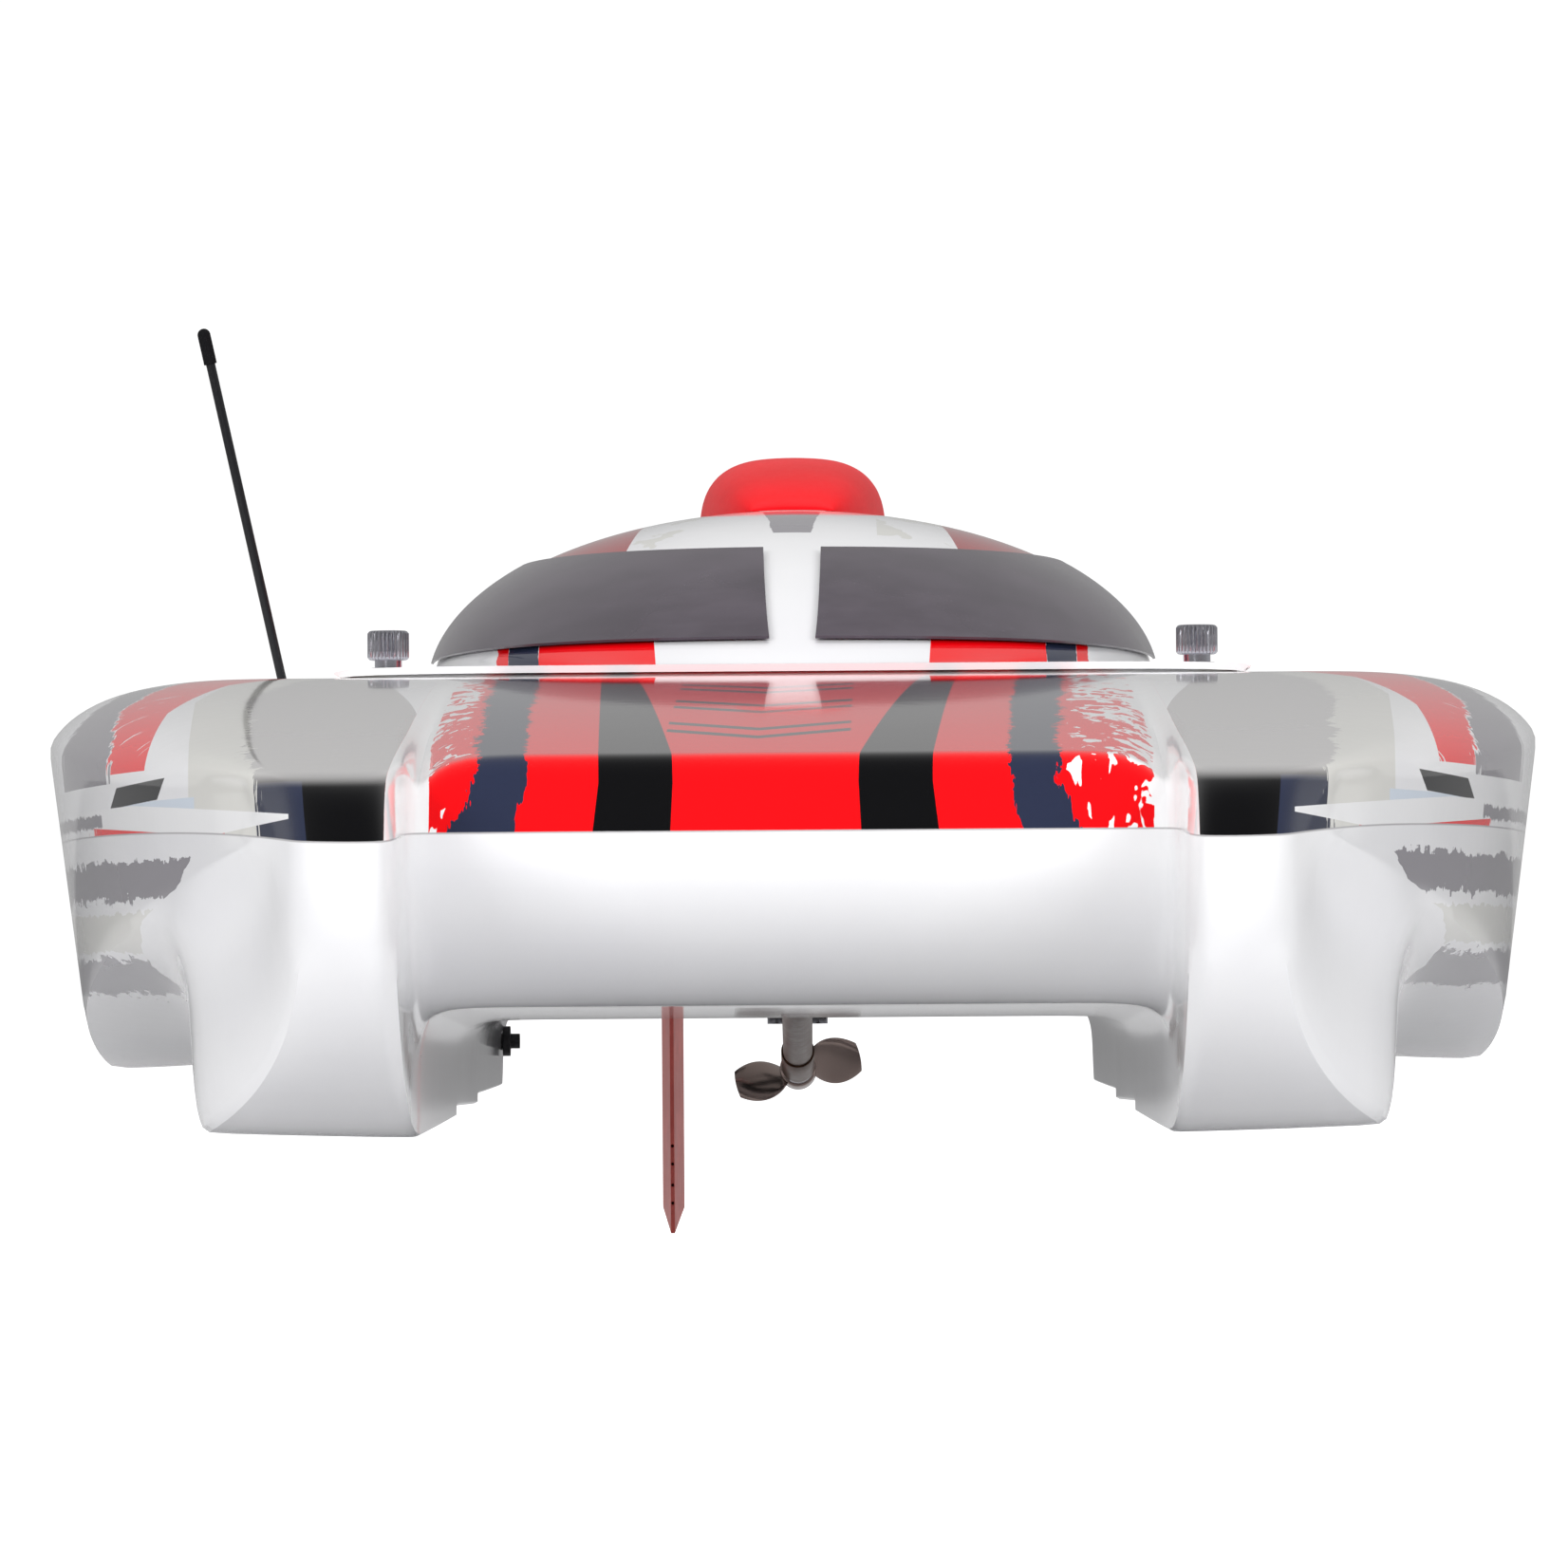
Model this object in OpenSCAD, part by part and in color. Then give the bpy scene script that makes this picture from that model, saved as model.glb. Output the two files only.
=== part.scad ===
// Radio-controlled racing catamaran, outboard-rudder, single centre propeller.
// Millimetres. Design stations: x to port, y aft from the sponson tips, z up from the keel plane.
// Every node is moved so that the origin is the middle of the flat tunnel roof, where a stand's pad bears.

/* [Hull] */
// length of the mouldings
hull_len = 1150; // [1000:10:1300]
// beam at the widest station
beam = 365; // [340:1:390]
// width across the blunt bow of one sponson, measured from the centreline
bow_half = 100; // [96:1:104]
// station of the widest beam
beam_at = 400; // [340:10:460]
// half width of the transom
stern_half = 168; // [160:1:176]
// tunnel half width at the bow
tunnel_front = 81; // [78:0.5:84]
// tunnel half width at the transom
tunnel_rear = 96; // [92:0.5:100]
// flat tunnel roof height
roof_z = 24.5; // [22:0.5:27]
// how far the wing's leading edge is set back from the sponson tips
wing_back = 50; // [40:1:60]
// moulding thickness
skin = 2; // [1.6:0.1:2.4]
// first step station
step_a = 440; // [400:5:480]
// second step station
step_b = 697; // [650:1:740]
// deck crest height
deck_z = 109; // [104:1:114]

/* [Hatch] */
// hatch front edge station
hatch_y0 = 388; // [384:1:396]
// hatch rear edge station
hatch_y1 = 930; // [900:5:940]
// hatch half width
hatch_half = 113; // [110:1:116]
// canopy height above the flange
dome_h = 47.5; // [42:0.5:54]
// canopy half width
dome_a = 96; // [90:1:98]

/* [Driveline] */
// shaft angle in degrees
shaft_tilt = 6.2; // [5:0.1:7]
// propeller disc radius
prop_r = 21; // [18:0.5:23]
// propeller shaft radius
shaft_r = 2.4; // [2:0.1:2.4]

/* [Steering] */
// rudder and servo pivots off the centreline
rudder_x = -42; // [-46:1:-38]
// linkage arm radius
link_r = 16; // [14:0.5:16]
// rudder tip below the keel plane
rudder_drop = 50; // [40:1:55]

/* [Hidden] */
$fn = 48;
L = hull_len;
EPS = 0.02;
HALF = 16;
COLS = 2 * HALF + 1;
nose_y = 130;
roof_step = 0.3;
roof_aft = roof_z + roof_step;
rim_z0 = 63;
rim_z1 = 68;
prop_y = 1178;
prop_z = 4.2;
pivot_y = 1196;
servo_y = 900;
rod_z = 60;
deck_in = deck_z - skin;
floor_z = roof_z + skin;
flange_z0 = deck_z + 1.2;
flange_z1 = flange_z0 + 1.8;
dome_y0 = hatch_y0 + 8;
dome_run = 190;
dome_y1 = 915;
screw_x = 101;
screw_ys = [hatch_y0 + 32, hatch_y1 - 32];
NOSE = [0, 0.02, 0.05, 0.09, 0.15, 0.22, 0.30, 0.40, 0.52, 0.66, 0.82, 1];
AFT = [165, 205, 250, 300, 350, 400, step_a, step_a + 0.6, 500, 560, 625, step_b, step_b + 0.6,
    770, 850, 930, 1010, 1080, L];
KN = len(NOSE);
ROWS = KN + len(AFT);

// ---- hull lines ----------------------------------------------------------
function lerp(a, b, t) = a + (b - a) * t;
function clamp(t) = min(1, max(0, t));
function ease(t) = clamp(t) * clamp(t) * (3 - 2 * clamp(t));
function half_beam(y) = y < beam_at
    ? bow_half + (beam / 2 - bow_half) * (1 - pow(1 - y / beam_at, 1.85))
    : beam / 2 - (beam / 2 - stern_half) * pow((y - beam_at) / (L - beam_at), 2);
function tunnel(y) = tunnel_front + (tunnel_rear - tunnel_front) * pow(y / L, 1.4);
function rim_z(y) = rim_z0 + (rim_z1 - rim_z0) * (1 - exp(-y / 70));
function roof(y) = roof_z + 4 * pow(clamp((450 - y) / 330), 1.5) + roof_step * clamp((y - 850) / 80);
function keel(y) = y <= step_a ? 0
    : y <= step_b ? 2.8 * (1 - (y - step_a) / (step_b - step_a))
    : 2.6 * (1 - (y - step_b) / (L - step_b));
function chine_z(y) = 13 + 50.6 * pow(clamp((425 - y) / 390), 1.04);
function chine_x(y) = half_beam(y) - 10 * clamp((y - 35) / 345);
function edge_z(y) = 74 + 20 * clamp(y / 380) - 4 * pow(clamp((y - 700) / 450), 2);
function side_x(y, z) = lerp(chine_x(y), half_beam(y), clamp((z - chine_z(y)) / max(6, edge_z(y) - chine_z(y))));
function knuckle_z(y) = chine_z(y) * 0.62 + 7;
function run_x(y) = 131 + 2 * clamp(y / 500);
function crest(y) = 75 + (deck_z - 75) * (1 - pow(1 - clamp(y / 372), 1.4)) - 9 * pow(clamp((y - 950) / 200), 2);
function groove(y) = 9 * pow(clamp((300 - y) / 250), 1.2);

// where each column meets the seam at the bow: set-back station, half width
SET = [wing_back, wing_back, wing_back, wing_back, wing_back, 46, 25, 5, 0, 0, 4, 12, 22, 30, 35, 39, 43];
FX = [0, 28, 55, 74, 79.3, 81.3, 81.6, 82.3, 86, 93, 0, 0, 0, 0, 0, 0, 0];
function front_x(h) = h < 10 ? FX[h] : half_beam(SET[h]);
// inward offsets of the laminate: at the seam in plan, and on a full section
IN_F = [[0, 1], [0, 1], [0, 1], [0, 1], [0.6, 1], [1, 0.9], [1, 0.3], [1, 0.8], [0.6, 1], [0, 1], [-0.5, 1],
    [-0.8, 0.7], [-0.9, 0.5], [-0.9, 0.5], [-0.9, 0.4], [-0.9, 0.4], [-1, 0]];
IN_H = [[0, 1], [0, 1], [0, 1], [0, 1], [0.7, 1], [1, 1], [1, 0.4], [1, 0.8], [1, 1], [0, 1], [-0.5, 1],
    [-1, 0.6], [-0.8, 0.9], [-0.3, 1], [-1, 0.9], [-1, 0], [-1, 0]];

// full lower section at station y: [half x, z] of column h
function hull_col(h, y) = let (w = tunnel(y), r = roof(y), k = keel(y), q = run_x(y), cx = chine_x(y),
        cz = chine_z(y), kz = knuckle_z(y), s = rim_z(y))
    h == 0 ? [0, r] : h == 1 ? [0.36 * w, r] : h == 2 ? [0.7 * w, r] : h == 3 ? [w - 7, r]
    : h == 4 ? [w - 1.8, r - 1.8] : h == 5 ? [w, r - 7] : h == 6 ? [w + 0.2, (r - 7 + k) / 2]
    : h == 7 ? [w + 0.5, k + 0.7] : h == 8 ? [w + 1.8, k] : h == 9 ? [lerp(w, q, 0.5), k + 0.5]
    : h == 10 ? [q - 2, k + 1.3] : h == 11 ? [q + 0.6, k + 6] : h == 12 ? [q + 1.6, max(kz, k + 9)]
    : h == 13 ? [lerp(q + 1.6, cx, 0.55), lerp(kz, cz, 0.5) - 0.8] : h == 14 ? [cx, cz]
    : h == 15 ? [side_x(y, lerp(cz, s, 0.5)), lerp(cz, s, 0.5)] : [side_x(y, s), s];

function row_y(i, h) = i < KN ? SET[h] + (nose_y - SET[h]) * NOSE[i] : AFT[i - KN];
function round_in(q) = pow(1 - pow(1 - q, 2.2), 0.62);
function hull_pt(i, k, d) = let (h = abs(k - HALF), s = k < HALF ? -1 : 1, y = row_y(i, h), q = i < KN ? NOSE[i] : 1,
        g = hull_col(h, i < KN ? nose_y : y), zs = rim_z(SET[h]),
        chined = h >= 14,
        c = hull_col(h, max(y, SET[h])),
        x0 = chined ? c[0] : lerp(front_x(h), g[0], ease(q)),
        z0 = chined ? min(c[1], rim_z(y)) : lerp(zs, g[1], round_in(q)),
        x = i == 0 ? front_x(h) : h == HALF ? side_x(y, rim_z(y)) : x0,
        z = i == 0 ? zs : h == HALF ? rim_z(y) : z0,
        lift = (h >= 7 && h <= 11 && d > 0 && i > 0) ? 2.8 - keel(max(y, nose_y)) : 0,
        ox = lerp(IN_F[h][0], IN_H[h][0], q) * d,
        oy = i == ROWS - 1 ? -d : IN_F[h][1] * d * (1 - q),
        oz = (i == 0 || h == HALF) ? 0 : IN_H[h][1] * d * min(1, 0.3 + q * 4) + lift * min(1, q * 3))
    [s * (x + ox), y + oy, z + oz];

// full deck section: fraction across the sponson deck, height fraction under the crest
ACROSS = [0, 0, 0, 0, 0, 0, 0.12, 0.25, 0.38, 0.5, 0.62, 0.74, 0.86, 0.955, 1, 1, 1];
CROWN = [1, 1, 1, 1, 1, 1, 1, 1, 1, 1, 0.98, 0.9, 0.72, 0.38, 0, 0, 0];
DX = [0, 27, 54, 76.5, 80, 83.5];
IN_D = [[0, 1], [0, 1], [0, 1], [0, 1], [0, 1], [0, 1], [0, 1], [0, 1], [0, 1], [0, 1], [0, 1], [0, 1], [-0.3, 1],
    [-0.7, 1], [-1, 0.6], [-1, 0], [-1, 0]];
function deck_col(h, y) = let (w = half_beam(y), e = edge_z(y), c = crest(y), s = rim_z(y))
    h == 4 ? [80, c - groove(y)] : h < 6 ? [DX[h], c]
    : h < 15 ? [lerp(83.5, w, ACROSS[h]), lerp(e, c, CROWN[h])]
    : h == 15 ? [side_x(y, lerp(e, s, 0.5)), lerp(e, s, 0.5)] : [side_x(y, s), s];
function deck_pt(i, k, d) = let (h = abs(k - HALF), s = k < HALF ? -1 : 1, y = row_y(i, h), q = i < KN ? NOSE[i] : 1,
        g = deck_col(h, i < KN ? nose_y : y), c = deck_col(h, y), zs = rim_z(SET[h]),
        b = i == 0 ? 0 : i == 1 ? 0.62 : i == 2 ? 0.93 : 1,
        x = i == 0 ? front_x(h) : h >= 14 ? c[0] : lerp(front_x(h), g[0], pow(q, 0.8)),
        z = i == 0 ? zs : h == HALF ? rim_z(y) : lerp(zs, c[1], b),
        ox = lerp(IN_F[h][0], IN_D[h][0], q) * d,
        oy = i == ROWS - 1 ? -d : IN_F[h][1] * d * (1 - q),
        oz = (i == 0 || h == HALF) ? 0 : -IN_D[h][1] * d * (i == 1 ? 0.6 : 1))
    [s * (x + ox), y + oy, z + oz];

// transom closing line of a column, on the seam
function hull_top(k, d) = let (p = hull_pt(ROWS - 1, k, d)) [p[0], p[1], rim_z(L)];
function deck_top(k, d) = let (p = deck_pt(ROWS - 1, k, d), e = deck_pt(ROWS - 1, HALF * 2 - 2, d),
        r = deck_pt(ROWS - 1, HALF * 2, d))
    [p[0] * r[0] / e[0], p[1], rim_z(L)];

// a closed laminate from two grids of points: way 1 faces down, -1 faces up
function flip(f, way) = way > 0 ? f : [f[2], f[1], f[0]];
function quad(a, b, c, d, way) = [flip([a, b, c], way), flip([a, c, d], way)];
function oi(i, k) = i * COLS + k;
function ii(i, k) = (ROWS + i) * COLS + k;
function ot(k) = 2 * ROWS * COLS + k;
function it(k) = 2 * ROWS * COLS + COLS + k;

module laminate(outer, inner, top_o, top_i, way, lo, hi) {
    R = ROWS - 1;
    C = COLS - 1;
    to = function (k) k <= lo ? oi(R, 0) : k >= hi ? oi(R, C) : ot(k);
    ti = function (k) k <= lo ? ii(R, 0) : k >= hi ? ii(R, C) : it(k);
    skin_o = [for (i = [0:R - 1]) for (k = [0:C - 1]) each quad(oi(i, k), oi(i, k + 1), oi(i + 1, k + 1), oi(i + 1, k), way)];
    skin_i = [for (i = [0:R - 1]) for (k = [0:C - 1]) each quad(ii(i, k), ii(i, k + 1), ii(i + 1, k + 1), ii(i + 1, k), -way)];
    bow = [for (k = [0:C - 1]) each quad(oi(0, k), oi(0, k + 1), ii(0, k + 1), ii(0, k), -way)];
    side_a = [for (i = [0:R - 1]) each quad(oi(i, 0), ii(i, 0), ii(i + 1, 0), oi(i + 1, 0), -way)];
    side_b = [for (i = [0:R - 1]) each quad(oi(i, C), ii(i, C), ii(i + 1, C), oi(i + 1, C), way)];
    cap_o = [for (k = [0:C - 1]) each quad(oi(R, k), oi(R, k + 1), to(k + 1), to(k), way)];
    cap_i = [for (k = [0:C - 1]) each quad(ii(R, k), ii(R, k + 1), ti(k + 1), ti(k), -way)];
    cap_t = [for (k = [lo:hi - 1]) each quad(to(k), to(k + 1), ti(k + 1), ti(k), way)];
    all = concat(skin_o, skin_i, bow, side_a, side_b, cap_o, cap_i, cap_t);
    good = [for (f = all) if (f[0] != f[1] && f[1] != f[2] && f[0] != f[2]) f];
    polyhedron(points = concat(outer, inner, top_o, top_i), faces = good, convexity = 12);
}

// ---- placing helpers -----------------------------------------------------
module place() translate([0, -600, -roof_z]) children();
module shaft_frame() translate([0, prop_y, prop_z]) rotate([-(90 + shaft_tilt), 0, 0]) children();
module rod(r, z0, z1) translate([0, 0, z0]) cylinder(r = r, h = z1 - z0);
module tube(ro, ri, z0, z1) difference() {
    rod(ro, z0, z1);
    rod(ri, z0 - 1, z1 + 1);
}
module box(lo, hi) translate(lo) cube([hi[0] - lo[0], hi[1] - lo[1], hi[2] - lo[2]]);
module mirrored() {
    children();
    mirror([1, 0, 0]) children();
}
module round_rect(x, y0, y1, r, z0, z1) translate([0, 0, z0]) linear_extrude(z1 - z0) union() {
    translate([-x + r, y0]) square([2 * x - 2 * r, y1 - y0]);
    translate([-x, y0 + r]) square([2 * x, y1 - y0 - 2 * r]);
    for (sx = [-1, 1]) for (cy = [y0 + r, y1 - r]) translate([sx * (x - r), cy]) circle(r);
}
module at_screws(z = 0) for (sx = [-1, 1]) for (sy = screw_ys) translate([sx * screw_x, sy, z]) children();

// ---- mouldings -----------------------------------------------------------
module hull_tub() color("white") place() difference() {
    laminate([for (i = [0:ROWS - 1]) for (k = [0:COLS - 1]) hull_pt(i, k, 0)],
        [for (i = [0:ROWS - 1]) for (k = [0:COLS - 1]) hull_pt(i, k, skin)],
        [for (k = [0:COLS - 1]) hull_top(k, 0)], [for (k = [0:COLS - 1]) hull_top(k, skin)], 1, 0, COLS - 1);
    shaft_frame() rod(4.8, -300, -110);
    translate([rudder_x + link_r, L + 5, rod_z]) rotate([90, 0, 0]) cylinder(r = 5, h = 12);
    translate([70, L + 5, 40]) rotate([90, 0, 0]) cylinder(r = 3, h = 12);
    translate([20, L + 5, 40]) rotate([90, 0, 0]) cylinder(r = 3, h = 12);
    translate([-tunnel(1090) - 5, 1090, 15]) rotate([0, 90, 0]) cylinder(r = 3, h = 10);
}
module deck_moulding() color("crimson") place() difference() {
    laminate([for (i = [0:ROWS - 1]) for (k = [0:COLS - 1]) deck_pt(i, k, 0)],
        [for (i = [0:ROWS - 1]) for (k = [0:COLS - 1]) deck_pt(i, k, skin)],
        [for (k = [0:COLS - 1]) deck_top(k, 0)], [for (k = [0:COLS - 1]) deck_top(k, skin)], -1, 2, COLS - 3);
    round_rect(88, hatch_y0 + 18, hatch_y1 - 18, 14, deck_in - 5, deck_z + 5);
    at_screws(deck_in - 3) cylinder(r = 3.1, h = 8);
    translate([-136, 600, deck_in - 3]) cylinder(r = 3, h = 8);
}
module hatch_coaming() color("gainsboro") place() difference() {
    round_rect(94, hatch_y0 + 12, hatch_y1 - 12, 20, deck_in - 4 - EPS, deck_in - EPS);
    round_rect(88, hatch_y0 + 18, hatch_y1 - 18, 14, deck_in - 9, deck_in + 1);
}
module hatch_inserts() color("goldenrod") place() at_screws() difference() {
    union() {
        rod(3.05, deck_in - 6, deck_z - 0.05);
        rod(5, deck_in - 6, deck_in - EPS);
    }
    rod(2.06, deck_in - 8, deck_z + 1);
}
module bulkheads() color("burlywood") place() for (y = [330, 965]) mirrored() difference() {
    box([0, y - 1.5, roof(y) + skin + 0.4], [78, y + 1.5, crest(y) - skin - 0.6]);
    translate([0, y + 5, 66]) rotate([90, 0, 0]) cylinder(r = 26, h = 10);
    for (x = [44, 66]) translate([x, y + 5, 44]) rotate([90, 0, 0]) cylinder(r = 6.5, h = 10);
    translate([-rudder_x - link_r, y + 5, rod_z]) rotate([90, 0, 0]) cylinder(r = 7, h = 10);
    translate([0, y - 5, 20]) cube([14, 10, 24]);
}
module transom_doubler() color("peru") place() difference() {
    box([-88, L - skin - 4.1, floor_z + 1.6], [88, L - skin - 0.1, rim_z1 - 1]);
    translate([rudder_x + link_r, L, rod_z]) rotate([90, 0, 0]) cylinder(r = 5.2, h = 12);
    translate([70, L, 40]) rotate([90, 0, 0]) cylinder(r = 3.1, h = 12);
    translate([20, L, 40]) rotate([90, 0, 0]) cylinder(r = 3.1, h = 12);
}
module sponson_foam() color("lightyellow") place() mirrored() {
    box([92, 175, 46], [134, 330, 70]);
    box([95, 175, 9.5], [125, 330, 45.9]);
}

// ---- hatch, canopy, scoop ------------------------------------------------
function dome_u(y) = clamp((y - dome_y0) / dome_run);
function dome_tail(y) = 1 - 0.72 * pow(clamp((y - 640) / (dome_y1 - 640)), 2.1);
function dome_h_at(y) = (0.6 + (dome_h - 0.6) * (1 - pow(1 - dome_u(y), 2))) * dome_tail(y);
function dome_a_at(y) = (44 + (dome_a - 44) * pow(1 - pow(1 - dome_u(y), 2), 0.6)) * (1 - 0.35 * pow(clamp((y - 640) / (dome_y1 - 640)), 2.4));
HATCH_Y = [hatch_y0, dome_y0 - 1, dome_y0 + 4, 404, 414, 426, 440, 456, 474, 494, 516, 542, 570, 604, 640, 680, 720,
    760, 800, 840, 875, 900, dome_y1, dome_y1 + 1.5, hatch_y1];
HATCH_T = [0, 0, 0, 9, 20, 32, 46, 62, 78, 90];
HC = 9;
HN = len(HATCH_Y);
HW = 2 * HC + 1;
function hatch_pt(i, k, d) = let (h = HC - abs(k - HC), s = k < HC ? -1 : 1, y = HATCH_Y[i],
        up = (i > 1 && i < HN - 2) ? 1 : 0, a = dome_a_at(y) - d * 0.9, hh = max(0, dome_h_at(y) - d) * up,
        yy = i == 0 ? y + d : i == HN - 1 ? y - d : y)
    h == 0 ? [s * (hatch_half - d), yy, flange_z0 + (d > 0 ? 0 : 0)]
    : h == 1 ? [s * (hatch_half - d), yy, flange_z1 - d]
    : h == 2 ? [s * (a + 2.5), yy, flange_z1 - d]
    : [s * a * cos(HATCH_T[h]), yy, flange_z1 - d + hh * sin(HATCH_T[h])];
module grid_shell(outer, inner, rows, cols, way) {
    R = rows - 1;
    C = cols - 1;
    N = rows * cols;
    a = function (i, k) i * cols + k;
    b = function (i, k) N + i * cols + k;
    skin_o = [for (i = [0:R - 1]) for (k = [0:C - 1]) each quad(a(i, k), a(i, k + 1), a(i + 1, k + 1), a(i + 1, k), way)];
    skin_i = [for (i = [0:R - 1]) for (k = [0:C - 1]) each quad(b(i, k), b(i, k + 1), b(i + 1, k + 1), b(i + 1, k), -way)];
    front = [for (k = [0:C - 1]) each quad(a(0, k), a(0, k + 1), b(0, k + 1), b(0, k), -way)];
    rear = [for (k = [0:C - 1]) each quad(a(R, k), a(R, k + 1), b(R, k + 1), b(R, k), way)];
    side_a = [for (i = [0:R - 1]) each quad(a(i, 0), b(i, 0), b(i + 1, 0), a(i + 1, 0), -way)];
    side_b = [for (i = [0:R - 1]) each quad(a(i, C), b(i, C), b(i + 1, C), a(i + 1, C), way)];
    polyhedron(points = concat(outer, inner), faces = concat(skin_o, skin_i, front, rear, side_a, side_b), convexity = 10);
}
function flat_pt(i, k, z) = let (p = hatch_pt(i, k, 0), h = HC - abs(k - HC), s = k < HC ? -1 : 1) [p[0], p[1], z];
// the canopy laminate: the flange stays solid, and the dome is hollow from below
module hatch_moulding() color("whitesmoke") place() difference() {
    grid_shell([for (i = [0:HN - 1]) for (k = [1:HW - 2]) hatch_pt(i, k, 0)],
        [for (i = [0:HN - 1]) for (k = [1:HW - 2]) let (p = hatch_pt(i, k, 0), q = hatch_pt(i, k, 1.8))
            [abs(k - HC) == HC - 1 ? p[0] : q[0], p[1], q[2]]], HN, HW - 2, -1);
    at_screws(flange_z0 - 2) cylinder(r = 2.3, h = 8);
}
module hatch_seal() color("dimgray") place() difference() {
    round_rect(hatch_half - 3, hatch_y0 + 3, hatch_y1 - 3, 6, deck_z + 0.05, flange_z0 - 0.05);
    round_rect(hatch_half - 7, hatch_y0 + 7, hatch_y1 - 7, 4, deck_z - 1, flange_z0 + 1);
}
// tinted screens: patches of the dome between two heights
PANE_R = 9;
PANE_C = 23;
function pane_pt(i, k, o) = let (z = lerp(6.2, 31.5, i / (PANE_R - 1)), t1 = asin(min(1, z / (dome_h - 0.9))), t0 = 84.5 + 0.6 * i / (PANE_R - 1),
        th = lerp(t0, t1, 1 - pow(1 - k / (PANE_C - 1), 2)), hh = z / sin(th),
        u = 1 - sqrt(max(0, 1 - (hh - 0.6) / (dome_h - 0.6))), y = dome_y0 + dome_run * u)
    [(dome_a_at(y) + o) * cos(th), y - o * (1 - u), flange_z1 + z + o * sin(th)];
module pane() grid_shell([for (i = [0:PANE_R - 1]) for (k = [0:PANE_C - 1]) pane_pt(i, k, 1.3)],
    [for (i = [0:PANE_R - 1]) for (k = [0:PANE_C - 1]) pane_pt(i, k, 0.6)], PANE_R, PANE_C, -1);
module windscreen_port() color("dimgray") place() pane();
module windscreen_stbd() color("dimgray") place() mirror([1, 0, 0]) pane();
// air scoop: closed, rounded front; open mouth aft
SC_Y = [592, 594, 600, 610, 624, 642, 664, 690, 720, 748];
SC_T = [0, 8, 20, 34, 50, 68, 90, 112, 130, 146, 160, 172, 180];
function scoop_pt(i, k, d) = let (y = SC_Y[i], u = clamp((y - 590) / 100), f = pow(1 - pow(1 - u, 2), 0.62),
        a = (10 + 16 * f) - d, hh = 19.5 * f - d, t = SC_T[k], x = a * sign(cos(t)) * pow(abs(cos(t)), 0.62),
        zd = flange_z1 + dome_h_at(y) * sqrt(1 - pow(x / dome_a_at(y), 2)) + 0.4)
    [x, (i == 0 ? y + d : y), zd + max(0, hh) * pow(sin(t), 0.7)];
module air_scoop() color("red") place() grid_shell(
    [for (i = [0:9]) for (k = [0:12]) scoop_pt(i, k, 0)],
    [for (i = [0:9]) for (k = [0:12]) scoop_pt(i, k, 1.5)], 10, 13, 1);
// knurled thumb screw, captive in the flange
module thumb_screw() {
    difference() {
        rod(5.2, flange_z1 + 2.6, flange_z1 + 10);
        for (a = [0:12:348]) rotate(a) translate([5.35, 0, flange_z1 + 2]) cylinder(r = 0.42, h = 10);
    }
    rod(3.4, flange_z1 + 0.75, flange_z1 + 2.7);
    rod(2, deck_in - 5, flange_z1 + 1);
}
module thumb_screw_fs() color("silver") place() translate([-screw_x, screw_ys[0], 0]) thumb_screw();
module thumb_screw_fp() color("silver") place() translate([screw_x, screw_ys[0], 0]) thumb_screw();
module thumb_screw_rs() color("silver") place() translate([-screw_x, screw_ys[1], 0]) thumb_screw();
module thumb_screw_rp() color("silver") place() translate([screw_x, screw_ys[1], 0]) thumb_screw();
module screw_washers() color("black") place() at_screws() tube(4.6, 2.3, flange_z1 + 0.02, flange_z1 + 0.7);

// ---- driveline, along the tilted shaft -----------------------------------
module motor_can() color("darkslategray") place() shaft_frame() difference() {
    rod(18, -545, -472);
    rod(16.4, -542, -475);
    rod(2.55, -550, -465);
    for (a = [45:90:315]) rotate(a) translate([12.5, 0, -476]) cylinder(r = 1.5, h = 10);
}
module motor_rotor() color("silver") place() shaft_frame() {
    rod(2.5, -548, -446);
    rod(13.2, -536, -481);
}
module water_jacket() color("steelblue") place() shaft_frame() {
    tube(21, 18.02, -532, -488);
    for (z = [-525, -495]) translate([0, 0, z]) rotate([90, 0, 0]) tube(2.4, 1.2, 20, 30);
}
module motor_mount() color("lightsteelblue") place() {
    difference() {
        shaft_frame() difference() {
            translate([-26, -21, -471.9]) cube([52, 60, 5]);
            rod(7, -480, -460);
            for (a = [45:90:315]) rotate(a) translate([12.5, 0, -480]) cylinder(r = 1.6, h = 20);
        }
        box([-60, 600, 0], [60, 800, floor_z + 0.4]);
    }
    difference() {
        box([-34, 692, floor_z + 0.4], [34, 708, floor_z + 5]);
        for (x = [-28, 28]) translate([x, 699, 20]) cylinder(r = 1.6, h = 20);
    }
}
module mount_screws() color("black") place() {
    shaft_frame() for (a = [45:90:315]) rotate(a) translate([12.5, 0, 0]) {
        rod(1.45, -475, -466);
        rod(2.7, -466.85, -464);
    }
    for (x = [-28, 28]) translate([x, 699, 0]) {
        rod(1.5, floor_z + 0.5, floor_z + 6);
        rod(2.8, floor_z + 5.05, floor_z + 8);
    }
}
module shaft_coupler() color("silver") place() shaft_frame() difference() {
    rod(6.5, -460, -432);
    rod(2.5, -461, -446);
    rod(2.2, -447, -430);
    for (z = [-453, -439]) translate([0, 0, z]) rotate([90, 0, 0]) cylinder(r = 1.4, h = 10);
}
module flex_shaft() color("gray") place() shaft_frame() rod(2.2, -445.9, -75);
module stuffing_tube() color("peru") place() shaft_frame() tube(4.75, 3.1, -412, -62.1);
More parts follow.
